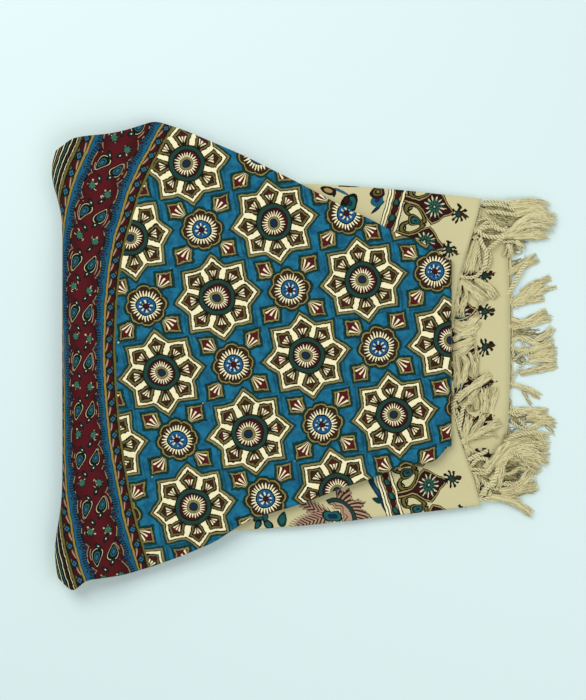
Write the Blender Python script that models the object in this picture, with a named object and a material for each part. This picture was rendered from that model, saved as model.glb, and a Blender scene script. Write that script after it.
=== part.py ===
"""A block-printed cotton cloth (qalamkar), folded flat, with a fringe of yarn locks at both hems.

Both long sides are turned under, which makes a strip of three layers with the printed middle outside. The strip is
doubled at its centre with the print outside, and folded once more at the left. Four plies lie on each other: the
printed centre on top, the rest of that half face down, the first hem face up, and the second hem face down.

+X runs towards the hems, +Y to the far side and Z is up. Sizes are in millimetres until a point enters a mesh. The
origin is under the middle of the whole.
"""

import math
import random
from collections import namedtuple

import bmesh
import bpy
from mathutils import Matrix, Vector

for old in list(bpy.data.objects):
    bpy.data.objects.remove(old)

MM = 0.001

# The cloth, and how its layers lie
CLOTH_THICKNESS = 1.1
LAYER_PITCH = 1.7
PLY_GAP = 0.8
STRIP_HALF = LAYER_PITCH + CLOTH_THICKNESS / 2
PLY_PITCH = 3 * LAYER_PITCH + PLY_GAP
LOWER_Z, MIDDLE_Z, INNER_Z, TOP_Z = (STRIP_HALF + PLY_PITCH * ply for ply in range(4))
FLAP_SETBACK = 3.0
KNOTS = (0.83, 0.5, 0.17, -0.17, -0.5, -0.83)
EDGE_STEPS = 4
LONGEST_STEP = 52.0

# The folds across the strip: where each one's outermost cloth reaches along X, and the loose one's depth
CENTRE_FOLD_X = 162.8
INNER_FOLD_X = -246.0
WRAP_X = -266.2
WRAP_DEPTH = 29.0
TIGHT_STEPS = 6
WRAP_STEPS = 12

# The edges of each ply: x along the strip, and y of its far and near edge
Edge = namedtuple("Edge", "x far near")
TOP_PLY = [
    Edge(149.6, 114.4, -114.4),
    Edge(133.1, 125.4, -118.8),
    Edge(105.6, 133.1, -123.2),
    Edge(72.6, 150.7, -135.3),
    Edge(39.6, 166.1, -146.3),
    Edge(1.1, 187.0, -161.7),
    Edge(-31.9, 203.5, -171.6),
    Edge(-64.9, 220.0, -182.6),
    Edge(-97.9, 234.3, -204.6),
    Edge(-130.9, 248.6, -218.9),
    Edge(-163.9, 259.6, -231.0),
    Edge(-196.9, 248.6, -240.9),
    Edge(-215.0, 244.0, -243.5),
]
CENTRE_FOLD = Edge(CENTRE_FOLD_X - PLY_PITCH / 2 - STRIP_HALF, 103.4, -95.0)
WRAP = [
    Edge(WRAP_X + STRIP_HALF + WRAP_DEPTH, 240.9, -247.0),
    Edge(WRAP_X + 20.0, 238.7, -255.5),
    Edge(WRAP_X + STRIP_HALF, 233.0, -259.0),
]
INNER_FOLD = Edge(INNER_FOLD_X + PLY_PITCH / 2 + STRIP_HALF, 193.0, -198.0)
INNER_PLY = [
    Edge(-180.0, 194.0, -197.0),
    Edge(-64.9, 192.0, -178.0),
    Edge(1.1, 182.0, -157.0),
    Edge(72.6, 147.0, -131.0),
    Edge(133.1, 122.0, -115.0),
]
MIDDLE_PLY = [
    Edge(159.5, 173.8, -165.0),
    Edge(128.0, 178.0, -170.0),
    Edge(90.0, 184.0, -176.0),
    Edge(50.6, 188.1, -182.6),
    Edge(-15.4, 191.5, -189.2),
    Edge(-70.0, 193.0, -193.0),
    Edge(-150.0, 194.0, -196.0),
]
LOWER_PLY = [
    Edge(-200.0, 234.0, -232.0),
    Edge(-130.0, 214.0, -200.0),
    Edge(-60.0, 188.0, -178.0),
    Edge(60.0, 178.0, -172.0),
    Edge(160.0, 171.0, -164.0),
    Edge(228.8, 167.0, -160.0),
]

# How far each hem bows out towards +X, from the far edge of the strip to the near one
Bow = namedtuple("Bow", "across shift")
MIDDLE_HEM = [
    Bow(1.0, 37.0),
    Bow(0.83, 29.5),
    Bow(0.5, 13.0),
    Bow(0.17, 1.5),
    Bow(-0.17, 0.5),
    Bow(-0.5, 9.0),
    Bow(-0.83, 28.0),
    Bow(-1.0, 36.0),
]
LOWER_HEM = [
    Bow(1.0, -7.0),
    Bow(0.83, -4.5),
    Bow(0.5, -1.5),
    Bow(0.17, 0.0),
    Bow(-0.17, -0.5),
    Bow(-0.5, -3.0),
    Bow(-0.83, -6.5),
    Bow(-1.0, -9.0),
]
BOW_REACH = 120.0

# The loose left end: it stands higher, and its corners bulge out
Bulge = namedtuple("Bulge", "y spread reach")
LEFT_BULGES = [Bulge(203.0, 34.0, 10.0), Bulge(-216.0, 42.0, 6.0)]
BULGE_FROM, BULGE_FULL = -200.0, -252.0
LOFT = 0.3
LOFT_FROM, LOFT_FULL = -165.0, -245.0

# The top ply sinks where no plies lie under it: how far past their edge, and from where to where along X
SINK = 5.0
SINK_FROM, SINK_FULL = 8.0, 48.0
SINK_SPAN = (-80.0, -160.0, -185.0, -225.0)

# Soft swells of the whole stack, as a share of the height
Swell = namedtuple("Swell", "x y spread share")
SWELLS = [
    Swell(-200.0, 60.0, 70.0, 0.05),
    Swell(-120.0, -110.0, 80.0, -0.05),
    Swell(-40.0, 90.0, 70.0, -0.04),
    Swell(30.0, -40.0, 80.0, 0.05),
    Swell(120.0, 60.0, 60.0, 0.04),
    Swell(-205.0, -170.0, 70.0, 0.06),
]

# The fringe: a narrow band beside each hem, and the locks that grow out of it
HEM_GAP = 0.35
BAND_DEPTH = 2.0
BAND_HALF = 1.9
BAND_SPAN = 0.985
LOCK_COUNT = 36
LOCK_SHARE = 0.58
LOCK_STEPS = 5
LOCK_HEIGHT = 2.6
TIP_WIDTH, TIP_HEIGHT = 3.2, 1.2
LENGTH_RANGE = (0.86, 1.06)
WANDER = 0.4
CURL, CURL_TURNS, CURL_DRIFT = 8.0, 0.8, 0.8
REST_GAP = 0.3
Flow = namedtuple("Flow", "across heading length")
UPPER_FLOW = [Flow(1, -2, 76), Flow(0.6, -12, 74), Flow(0.2, -20, 74), Flow(-0.3, -24, 76), Flow(-1, -17, 70)]
LOWER_FLOW = [Flow(1, 2, 40), Flow(0.5, -4, 44), Flow(0.1, -2, 48), Flow(-0.4, -10, 42), Flow(-1, -8, 38)]


def blend(low, high, value):
    """A smooth step from 0 at low to 1 at high, which may be the smaller of the two."""
    t = min(1.0, max(0.0, (value - low) / (high - low)))
    return t * t * (3 - 2 * t)


def reading(rows, at, column):
    """A table's column at a place between its rows, whose first column falls or rises."""
    for one, two in zip(rows, rows[1:]):
        if min(one[0], two[0]) <= at <= max(one[0], two[0]):
            share = (at - one[0]) / (two[0] - one[0])
            return getattr(one, column) * (1 - share) + getattr(two, column) * share
    nearest = min(rows, key=lambda row: abs(row[0] - at))
    return getattr(nearest, column)


Station = namedtuple("Station", "ply x z turn edge")


def run(ply, rows, z, turn):
    """Stations along a ply, never far apart. The printed side faces along turn, in degrees from +X towards +Z."""
    stations = []
    for row, following in zip(rows, [*rows[1:], rows[-1]]):
        steps = max(1, math.ceil(abs(following.x - row.x) / LONGEST_STEP))
        for step in range(steps):
            edge = Edge(*(one + (two - one) * step / steps for one, two in zip(row, following)))
            stations.append(Station(ply, edge.x, z, turn, edge))
    return stations


def fold(ply, edge, z, first, last, outside):
    """Stations round a tight fold between two plies, whose printed side is outside it or inside."""
    stations = []
    for step in range(TIGHT_STEPS + 1):
        turn = first + (last - first) * step / TIGHT_STEPS
        x = edge.x + PLY_PITCH / 2 * math.cos(math.radians(turn))
        height = z + PLY_PITCH / 2 * math.sin(math.radians(turn))
        stations.append(Station(ply, x, height, turn if outside else turn + 180, edge))
    return stations


def wrap():
    """Stations round the loose fold at the left, half an ellipse from the top ply down to the lower one."""
    rise = (TOP_Z - LOWER_Z) / 2
    stations = []
    for step in range(WRAP_STEPS + 1):
        angle = math.radians(90 + 180 * step / WRAP_STEPS)
        x = WRAP[0].x + WRAP_DEPTH * math.cos(angle)
        turn = math.degrees(math.atan2(math.sin(angle) * WRAP_DEPTH, math.cos(angle) * rise))
        edge = Edge(x, reading(WRAP, x, "far"), reading(WRAP, x, "near"))
        stations.append(Station("wrap", x, LOWER_Z + rise * (1 + math.sin(angle)), turn, edge))
    return stations


def strip_path():
    """The strip from the first hem, in the middle, to the second one, on the floor."""
    path = run("middle", MIDDLE_PLY, MIDDLE_Z, 90)
    path += fold("inner_fold", INNER_FOLD, (MIDDLE_Z + INNER_Z) / 2, -90, -270, False)
    path += run("inner", INNER_PLY, INNER_Z, -90)
    path += fold("centre_fold", CENTRE_FOLD, (INNER_Z + TOP_Z) / 2, -90, 90, True)
    path += run("top", TOP_PLY, TOP_Z, 90)
    path += wrap()
    path += run("lower", LOWER_PLY, LOWER_Z, -90)
    return path


def arc(centre_y, centre_offset, radius, side):
    """The inner points of an edge fold of the strip, towards the far side, 1, or the near side, -1."""
    points = []
    for step in range(1, EDGE_STEPS):
        angle = math.radians(side * (90 - 180 * step / EDGE_STEPS))
        points.append((centre_y + side * radius * math.cos(angle), centre_offset + radius * math.sin(angle)))
    return points


def section(edge):
    """The cloth across the strip, as (y, offset), from the lower flap's free edge to the inner flap's."""
    middle, half = (edge.far + edge.near) / 2, (edge.far - edge.near) / 2
    knots = [middle + half * knot for knot in KNOTS]
    near = edge.near + LAYER_PITCH + CLOTH_THICKNESS / 2
    far = edge.far - LAYER_PITCH / 2 - CLOTH_THICKNESS / 2
    lower_flap = [(y, -LAYER_PITCH) for y in [edge.far - FLAP_SETBACK, *knots, near]]
    face = [(y, LAYER_PITCH) for y in [near, *reversed(knots), far]]
    inner_flap = [(y, 0.0) for y in [far, *knots, near + FLAP_SETBACK / 3]]
    near_fold = arc(near, 0.0, LAYER_PITCH, -1)
    far_fold = arc(far, LAYER_PITCH / 2, LAYER_PITCH / 2, 1)
    return lower_flap + near_fold + face + far_fold + inner_flap


def sink(x, y):
    """How far the top ply comes down past the edges of the plies under it."""
    past = max(y - reading(INNER_PLY, x, "far"), reading(INNER_PLY, x, "near") - y)
    start, full, fading, end = SINK_SPAN
    return SINK * blend(start, full, x) * blend(end, fading, x) * blend(SINK_FROM, SINK_FULL, past)


def loosen(x, y, z):
    """Swells the stack, raises its left end and pushes out the corners there."""
    z *= 1 + LOFT * blend(LOFT_FROM, LOFT_FULL, x)
    for swell in SWELLS:
        away = math.hypot(x - swell.x, y - swell.y) / swell.spread
        z *= 1 + swell.share * math.exp(-away * away)
    for bulge in LEFT_BULGES:
        away = (y - bulge.y) / bulge.spread
        x -= bulge.reach * math.exp(-away * away) * blend(BULGE_FROM, BULGE_FULL, x)
    return x, y, z


def hem_shift(station, y):
    """How far a point moves towards +X with the bow of the hem that its ply ends in."""
    hems = {"middle": (MIDDLE_HEM, MIDDLE_PLY[0].x), "lower": (LOWER_HEM, LOWER_PLY[-1].x)}
    if station.ply not in hems:
        return 0.0
    rows, hem_x = hems[station.ply]
    across = (2 * y - station.edge.far - station.edge.near) / (station.edge.far - station.edge.near)
    return reading(rows, across, "shift") * blend(hem_x - BOW_REACH, hem_x, station.x)


def place(station, y, offset):
    """The point of the folded cloth at y across a station, offset towards its printed side."""
    turn = math.radians(station.turn)
    x = station.x + offset * math.cos(turn) + hem_shift(station, y)
    z = station.z + offset * math.sin(turn)
    if station.ply == "top":
        z -= sink(x, y)
    return Vector(loosen(x, y, z)) * MM


def new_object(name, bm, colour, roughness):
    """An object with its own plain material."""
    mesh = bpy.data.meshes.new(name)
    bm.to_mesh(mesh)
    bm.free()
    thing = bpy.data.objects.new(name, mesh)
    bpy.context.collection.objects.link(thing)
    material = bpy.data.materials.new(name)
    material.use_nodes = True
    shader = material.node_tree.nodes["Principled BSDF"]
    shader.inputs["Base Color"].default_value = (*colour, 1.0)
    shader.inputs["Roughness"].default_value = roughness
    shader.inputs["Metallic"].default_value = 0.0
    mesh.materials.append(material)
    return thing


def make_cloth():
    """The cloth is a grid, one row of points for each station, laid in its folds and thickened."""
    path = strip_path()
    across = len(section(path[0].edge))
    bm = bmesh.new()
    bmesh.ops.create_grid(bm, x_segments=across - 1, y_segments=len(path) - 1, size=0.5)
    for vert in bm.verts:
        column = round((vert.co.x + 0.5) * (across - 1))
        station = path[round((vert.co.y + 0.5) * (len(path) - 1))]
        y, offset = section(station.edge)[column]
        vert.co = place(station, y, offset)
    bmesh.ops.triangulate(bm, faces=bm.faces, quad_method="SHORT_EDGE")
    cloth = new_object("cloth", bm, (0.06, 0.2, 0.27), 0.85)
    solidify = cloth.modifiers.new("thickness", "SOLIDIFY")
    solidify.thickness = CLOTH_THICKNESS * MM
    solidify.offset = 0.0
    return cloth


def hem_point(edge, bow, across):
    """A point on a hem's line, from 1 at its far end to -1 at its near end."""
    y = (edge.far + edge.near) / 2 + across * (edge.far - edge.near) / 2
    return edge.x + reading(bow, across, "shift"), y


def make_band(edge, bow, z):
    """The narrow band beside a hem, cut across where each lock starts and ends, and the faces that locks grow from."""
    bm = bmesh.new()
    bmesh.ops.create_cube(bm, size=1)
    for vert in bm.verts:
        vert.co = ((vert.co.x + 0.5) * BAND_DEPTH, vert.co.y * 2 * BAND_SPAN, vert.co.z * 2 * BAND_HALF)
    pitch = 2 * BAND_SPAN / (LOCK_COUNT + 1 - LOCK_SHARE)
    for lock in range(LOCK_COUNT):
        start = BAND_SPAN - pitch * (lock + 1 - LOCK_SHARE)
        for across in (start, start - pitch * LOCK_SHARE):
            everything = bm.verts[:] + bm.edges[:] + bm.faces[:]
            bmesh.ops.bisect_plane(bm, geom=everything, dist=1e-6, plane_co=(0, across, 0), plane_no=(0, 1, 0))
    bm.normal_update()
    front = [face for face in bm.faces if face.normal.x > 0.5]
    front.sort(key=lambda face: -face.calc_center_median().y)
    roots = [(face, face.calc_center_median().y) for face in front[1::2]]
    for vert in bm.verts:
        x, y = hem_point(edge, bow, vert.co.y)
        vert.co = (x + HEM_GAP + vert.co.x, y, z + vert.co.z)
    return bm, roots


def grow_lock(bm, root, across, flow, rest, chance):
    """Extrudes one lock along its way: out of the band, down onto what it rests on, and on in soft curves."""
    x, y, z = root.calc_center_median()
    corners = [(1 if v.co.y > y else -1, 1 if v.co.z > z else -1) for v in root.verts]
    root_width = max(v.co.y for v in root.verts) - min(v.co.y for v in root.verts)
    length = reading(flow, across, "length") * chance.uniform(*LENGTH_RANGE)
    wander = chance.uniform(-WANDER, WANDER)
    face = root
    for step in range(1, LOCK_STEPS + 1):
        share = step / LOCK_STEPS
        curl = CURL * math.sin(2 * math.pi * (share * CURL_TURNS + CURL_DRIFT * across))
        heading = math.radians((reading(flow, across, "heading") + wander) * blend(0, 0.5, share) + curl)
        x += length / LOCK_STEPS * math.cos(heading)
        y += length / LOCK_STEPS * math.sin(heading)
        width = root_width + (TIP_WIDTH - root_width) * share**2
        height = LOCK_HEIGHT + (TIP_HEIGHT - LOCK_HEIGHT) * share**2
        face = bmesh.ops.extrude_discrete_faces(bm, faces=[face])["faces"][0]
        for vert, (side, up) in zip(face.verts, corners):
            out = side * width / 2
            vert.co = (x - out * math.sin(heading), y + out * math.cos(heading), rest(x) + (up + 1) / 2 * height)


def on_lower_ply(x):
    """What the upper locks rest on: the lower ply, and past its hem the lower locks."""
    past_hem = LOWER_PLY[-1].x + BAND_DEPTH
    over_ply, over_locks = 2 * STRIP_HALF + REST_GAP, LOCK_HEIGHT + REST_GAP
    return over_ply + (over_locks - over_ply) * blend(past_hem + 12, past_hem + 26, x)


def make_fringe(name, edge, bow, z, flow, rest, seed):
    """A hem's fringe: its band with all the locks, which is one body."""
    chance = random.Random(seed)
    bm, roots = make_band(edge, bow, z)
    for root, across in roots:
        grow_lock(bm, root, across, flow, rest, chance)
    for vert in bm.verts:
        vert.co = Vector(loosen(*vert.co)) * MM
    return new_object(name, bm, (0.66, 0.58, 0.42), 0.9)


def centre(things):
    """Moves the meshes together, so that the origin is under the middle of their box."""
    bpy.context.view_layer.update()
    graph = bpy.context.evaluated_depsgraph_get()
    corners = [Vector(corner) for thing in things for corner in thing.evaluated_get(graph).bound_box]
    low = [min(corner[axis] for corner in corners) for axis in range(3)]
    high = [max(corner[axis] for corner in corners) for axis in range(3)]
    shift = Vector((-(low[0] + high[0]) / 2, -(low[1] + high[1]) / 2, -low[2]))
    for thing in things:
        thing.data.transform(Matrix.Translation(shift))


cloth = make_cloth()
fringe_upper = make_fringe("fringe_upper", MIDDLE_PLY[0], MIDDLE_HEM, MIDDLE_Z, UPPER_FLOW, on_lower_ply, seed=3)
fringe_lower = make_fringe("fringe_lower", LOWER_PLY[-1], LOWER_HEM, LOWER_Z, LOWER_FLOW, lambda x: 0.0, seed=5)
centre([cloth, fringe_upper, fringe_lower])
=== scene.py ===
"""A block-printed cotton cloth (qalamkar), folded flat and seen from straight above."""

import math
import random
from collections import namedtuple
from functools import partial

import bmesh
import bpy
import numpy as np
from mathutils import Matrix, Vector


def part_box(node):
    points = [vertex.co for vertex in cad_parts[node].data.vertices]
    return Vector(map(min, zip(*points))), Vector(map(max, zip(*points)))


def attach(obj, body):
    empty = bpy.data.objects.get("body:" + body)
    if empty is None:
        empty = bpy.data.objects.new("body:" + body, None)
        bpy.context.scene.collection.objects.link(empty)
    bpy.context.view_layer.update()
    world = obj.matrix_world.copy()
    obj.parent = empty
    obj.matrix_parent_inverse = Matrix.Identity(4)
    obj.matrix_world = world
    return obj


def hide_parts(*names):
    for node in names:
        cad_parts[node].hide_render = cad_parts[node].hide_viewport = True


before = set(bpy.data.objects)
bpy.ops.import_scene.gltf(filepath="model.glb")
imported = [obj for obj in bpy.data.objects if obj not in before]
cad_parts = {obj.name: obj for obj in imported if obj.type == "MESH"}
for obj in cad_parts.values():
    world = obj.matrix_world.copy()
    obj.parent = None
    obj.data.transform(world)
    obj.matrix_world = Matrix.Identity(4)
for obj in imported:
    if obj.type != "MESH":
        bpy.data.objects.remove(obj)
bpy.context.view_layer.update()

# The cloth: one length of thin cotton, block printed and hemmed. Both long sides are turned under, the
# strip is doubled at its centre with the print outside, and folded once more at the left. Sizes are in
# millimetres, on the solid's own folds, and SHIFT brings them into the frame.
MM = 0.001
THICKNESS = 0.9
SOLID_THICKNESS = 1.1
LAYER_PITCH = 1.7
PLY_GAP = 0.8
STRIP_HALF = LAYER_PITCH + SOLID_THICKNESS / 2
PLY_PITCH = 3 * LAYER_PITCH + PLY_GAP
LOWER_Z, MIDDLE_Z, INNER_Z, TOP_Z = (STRIP_HALF + PLY_PITCH * ply for ply in range(4))
FLAP_SETBACK = 3.0

CENTRE_FOLD_X = 162.8
INNER_FOLD_X = -246.0
WRAP_X = -266.2
WRAP_DEPTH = 44.0
WRAP_START = WRAP_X + STRIP_HALF + WRAP_DEPTH
CENTRE_TURN = CENTRE_FOLD_X - PLY_PITCH / 2 - STRIP_HALF
INNER_TURN = INNER_FOLD_X + PLY_PITCH / 2 + STRIP_HALF

# Each ply's edges: x along the strip, then y of its far and near edge
PLY_EDGES = {
    "middle": [
        (INNER_TURN, 193.0, -198.0),
        (-150.0, 194.0, -196.0),
        (-70.0, 193.0, -193.0),
        (-15.4, 191.5, -189.2),
        (50.6, 188.1, -182.6),
        (90.0, 184.0, -176.0),
        (128.0, 178.0, -170.0),
        (159.5, 173.8, -165.0),
    ],
    "inner": [
        (INNER_TURN, 193.0, -198.0),
        (-180.0, 194.0, -197.0),
        (-64.9, 192.0, -178.0),
        (1.1, 182.0, -157.0),
        (72.6, 147.0, -131.0),
        (133.1, 122.0, -115.0),
        (CENTRE_TURN, 103.4, -95.0),
    ],
    "top": [
        (-264.0, 223.0, -240.0),
        (-257.0, 236.0, -258.0),
        (-251.0, 239.0, -261.0),
        (-245.0, 240.5, -256.0),
        (-239.0, 241.5, -247.0),
        (-215.0, 244.0, -243.5),
        (-196.9, 248.6, -240.9),
        (-163.9, 259.6, -231.0),
        (-130.9, 248.6, -218.9),
        (-97.9, 234.3, -204.6),
        (-64.9, 220.0, -182.6),
        (-31.9, 203.5, -171.6),
        (1.1, 187.0, -161.7),
        (39.6, 166.1, -146.3),
        (72.6, 150.7, -135.3),
        (105.6, 133.1, -123.2),
        (133.1, 125.4, -118.8),
        (149.6, 114.4, -114.4),
        (CENTRE_TURN, 103.4, -95.0),
    ],
    "lower": [
        (WRAP_START, 240.9, -247.0),
        (-200.0, 234.0, -232.0),
        (-130.0, 214.0, -200.0),
        (-60.0, 188.0, -178.0),
        (60.0, 178.0, -172.0),
        (160.0, 171.0, -164.0),
        (228.8, 167.0, -160.0),
    ],
}
CORNER_ROUNDING = 7.0

# How far each hem bows out towards +X, from the near edge of the strip, -1, to the far one, 1
HEM_BOWS = {
    "middle": [(-1, 36), (-0.83, 28), (-0.5, 9), (-0.17, 0.5), (0.17, 1.5), (0.5, 13), (0.83, 29.5), (1, 37)],
    "lower": [
        (-1, -9), (-0.83, -6.5), (-0.5, -3), (-0.17, -0.5), (0.17, 0), (0.5, -1.5), (0.83, -4.5), (1, -7),
    ],
}
HEM_X = {"middle": 159.5, "lower": 228.8}
BOW_REACH = 120.0

# The loose left end stands higher, and its corners bulge: y, spread, reach
LEFT_BULGES = [(203.0, 34.0, 12.0), (-216.0, 42.0, 8.5)]
BULGE_FROM, BULGE_FULL = -200.0, -252.0
LOFT, LOFT_FROM, LOFT_FULL = 0.3, -165.0, -245.0
PUFF, PUFF_FULL, PUFF_Y, PUFF_SPREAD = 0.28, -225.0, 10.0, 150.0

# The top ply sinks past the edges of the plies under it
SINK, SINK_FROM, SINK_FULL = 5.0, 8.0, 48.0
SINK_SPAN = (-80.0, -160.0, -185.0, -225.0)

# Soft swells of the whole stack, as a share of its height: x, y, spread, share
SWELLS = [
    (-200.0, 60.0, 70.0, 0.05),
    (-120.0, -110.0, 80.0, -0.05),
    (-40.0, 90.0, 70.0, -0.04),
    (30.0, -40.0, 80.0, 0.05),
    (120.0, 60.0, 60.0, 0.04),
    (-205.0, -170.0, 70.0, 0.06),
]

# How the mesh is stepped: along each ply, round its folds, and across the strip
STEPS = {"middle": 5.0, "inner": 30.0, "top": 4.4, "lower": 9.0}
TIGHT_STEPS, WRAP_STEPS = 8, 26
FACE_COLUMNS, OUTER_FLAP_COLUMNS, FLAP_COLUMNS, EDGE_STEPS = 84, 36, 9, 5

# Creases that stand up from a ply: from x, y to x, y, then their half width and height. They fade out between
# two distances from the ply's edge
CREASE_FADE = (4.0, 16.0)
Crease = namedtuple("Crease", "x y to_x to_y width height")
CREASES = {
    "top": [
        Crease(-40.0, 60.0, -165.0, 190.0, 16.0, 1.6),
        Crease(150.0, 40.0, 60.0, 75.0, 9.0, 1.3),
        Crease(150.0, -20.0, 95.0, -50.0, 10.0, 1.2),
        Crease(-120.0, -60.0, -230.0, -120.0, 14.0, 1.7),
        Crease(-110.0, 10.0, -225.0, 30.0, 18.0, 1.5),
        Crease(-20.0, -140.0, -110.0, -110.0, 12.0, 1.3),
        Crease(20.0, 150.0, -60.0, 140.0, 11.0, 1.2),
    ],
    "middle": [
        Crease(158.0, 152.0, 160.0, 120.0, 5.0, 0.9),
        Crease(193.0, 160.0, 150.0, 60.0, 8.0, 1.6),
        Crease(178.0, 120.0, 120.0, 100.0, 7.0, 1.4),
        Crease(186.0, -140.0, 140.0, -80.0, 8.0, 1.8),
        Crease(150.0, -165.0, 60.0, -150.0, 9.0, 1.2),
    ],
    "lower": [
        Crease(226.0, 60.0, 190.0, 40.0, 12.0, 1.6),
        Crease(222.0, -20.0, 195.0, 20.0, 11.0, 1.5),
        Crease(226.0, -50.0, 190.0, -70.0, 12.0, 1.4),
        Crease(213.0, 75.0, 211.0, -75.0, 4.0, 0.8),
    ],
}

# The line of the border on the print: its left edge at the middle, and how fast it leans in above and below
GUARD_X, GUARD_Y = -222.2, 12.0
GUARD_BELOW = 1 / 1595
GUARD_ABOVE, GUARD_POWER = 2.095e-4, 2.3
GUARD_END = 262.0
SQUEEZE, SQUEEZE_Y, SQUEEZE_SPREAD = 0.28, -20.0, 95.0

# The ends' print is not quite square to the first hem, and lies further in from the second one
HEM_SKEW, SECOND_MARGIN, SECOND_PHASE = 0.008, 6.6, -6.5
SLANT_REACH = 30.0

# The cloth's right end and its far edge at the widest, here and in the frame
FAR_Y = 259.6
SHIFT_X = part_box("cloth")[1].x / MM - HEM_X["lower"]
SHIFT_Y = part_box("cloth")[1].y / MM - FAR_Y


def blend(low, high, value):
    """A smooth step from 0 at low to 1 at high, which may be the smaller of the two."""
    share = min(1.0, max(0.0, (value - low) / (high - low)))
    return share * share * (3 - 2 * share)


def reading(rows, at, column):
    """A table's column at a place between its rows, with the corners rounded off."""
    places = [at + CORNER_ROUNDING * share for share in (-1, -0.5, 0, 0.5, 1)]
    return float(np.mean(np.interp(places, [row[0] for row in rows], [row[column] for row in rows])))


Station = namedtuple("Station", "ply x z turn far near")


def station(ply, rows, x, z, turn, edge_x):
    """A place along the strip. The printed side faces along turn, in degrees from +X towards +Z."""
    return Station(ply, x, z, turn, reading(rows, edge_x, 1), reading(rows, edge_x, 2))


def run(ply, start, end, z, turn):
    """Stations along a ply, evenly spaced."""
    count = round(abs(end - start) / STEPS[ply])
    places = [start + (end - start) * step / count for step in range(count + 1)]
    return [station(ply, PLY_EDGES[ply], x, z, turn, x) for x in places]


def tight_fold(ply, rows, x, z, first, last, outside):
    """Stations round a tight fold between two plies, whose printed side is outside it or inside."""
    stations = []
    for step in range(1, TIGHT_STEPS):
        turn = first + (last - first) * step / TIGHT_STEPS
        out, up = math.cos(math.radians(turn)), math.sin(math.radians(turn))
        facing = turn if outside else turn + 180
        stations.append(station(ply, rows, x + PLY_PITCH / 2 * out, z + PLY_PITCH / 2 * up, facing, x))
    return stations


def loose_fold():
    """Stations round the loose fold at the left, half an ellipse from the top ply down to the lower one."""
    rise = (TOP_Z - LOWER_Z) / 2
    stations = []
    for step in range(1, WRAP_STEPS):
        angle = math.radians(90 + 180 * step / WRAP_STEPS)
        x = WRAP_START + WRAP_DEPTH * math.cos(angle)
        turn = math.degrees(math.atan2(math.sin(angle) * WRAP_DEPTH, math.cos(angle) * rise))
        stations.append(station("wrap", PLY_EDGES["top"], x, LOWER_Z + rise * (1 + math.sin(angle)), turn, x))
    return stations


def strip_path():
    """The strip from the first hem, in the middle, to the second one, on the floor."""
    path = run("middle", HEM_X["middle"], INNER_TURN, MIDDLE_Z, 90)
    path += tight_fold("inner", PLY_EDGES["inner"], INNER_TURN, (MIDDLE_Z + INNER_Z) / 2, -90, -270, False)
    path += run("inner", INNER_TURN, CENTRE_TURN, INNER_Z, -90)
    path += tight_fold("centre", PLY_EDGES["top"], CENTRE_TURN, (INNER_Z + TOP_Z) / 2, -90, 90, True)
    path += run("top", CENTRE_TURN, WRAP_START, TOP_Z, 90)
    path += loose_fold()
    path += run("lower", WRAP_START, HEM_X["lower"], LOWER_Z, -90)
    return path


def section(place):
    """The cloth across the strip, from the lower flap's edge to the inner one's: y, offset, the print's y."""
    near = place.near + LAYER_PITCH + SOLID_THICKNESS / 2
    far = place.far - LAYER_PITCH / 2 - SOLID_THICKNESS / 2
    points = []
    for step in range(OUTER_FLAP_COLUMNS + 1):
        y = place.far - FLAP_SETBACK + (near - place.far + FLAP_SETBACK) * step / OUTER_FLAP_COLUMNS
        points.append((y, -LAYER_PITCH, near - math.pi * LAYER_PITCH - (y - near)))
    for step in range(1, EDGE_STEPS):
        angle = math.pi * (step / EDGE_STEPS - 0.5)
        offset, out = LAYER_PITCH * math.sin(angle), LAYER_PITCH * math.cos(angle)
        points.append((near - out, offset, near - LAYER_PITCH * (math.pi / 2 - angle)))
    for step in range(FACE_COLUMNS + 1):
        y = near + (far - near) * step / FACE_COLUMNS
        points.append((y, LAYER_PITCH, y))
    radius = LAYER_PITCH / 2
    for step in range(1, EDGE_STEPS):
        angle = math.pi * (0.5 - step / EDGE_STEPS)
        offset, out = radius * (1 + math.sin(angle)), radius * math.cos(angle)
        points.append((far + out, offset, far + radius * (math.pi / 2 - angle)))
    for step in range(FLAP_COLUMNS + 1):
        y = far + (near + FLAP_SETBACK / 3 - far) * step / FLAP_COLUMNS
        points.append((y, 0.0, far + math.pi * radius + (far - y)))
    return points


def sink(x, y):
    """How far the top ply comes down past the edges of the plies under it."""
    past = max(y - reading(PLY_EDGES["inner"], x, 1), reading(PLY_EDGES["inner"], x, 2) - y)
    start, full, fading, end = SINK_SPAN
    return SINK * blend(start, full, x) * blend(end, fading, x) * blend(SINK_FROM, SINK_FULL, past)


def loosen(x, y, z):
    """Swells the stack, raises its left end and pushes out the corners there."""
    puffed = PUFF * math.exp(-(((y - PUFF_Y) / PUFF_SPREAD) ** 2))
    z *= (1 + LOFT * blend(LOFT_FROM, LOFT_FULL, x)) * (1 + puffed * blend(LOFT_FROM, PUFF_FULL, x))
    for middle_x, middle_y, spread, share in SWELLS:
        away = math.hypot(x - middle_x, y - middle_y) / spread
        z *= 1 + share * math.exp(-away * away)
    for middle_y, spread, reach in LEFT_BULGES:
        away = (y - middle_y) / spread
        x -= reach * math.exp(-away * away) * blend(BULGE_FROM, BULGE_FULL, x)
    return x, y, z


def hem_shift(place, y):
    """How far a point moves towards +X with the bow of the hem that its ply ends in."""
    if place.ply not in HEM_BOWS:
        return 0.0
    across = (2 * y - place.far - place.near) / (place.far - place.near)
    bow = float(np.interp(across, *zip(*HEM_BOWS[place.ply])))
    hem_x = HEM_X[place.ply]
    return bow * blend(hem_x - BOW_REACH, hem_x, place.x)


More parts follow.
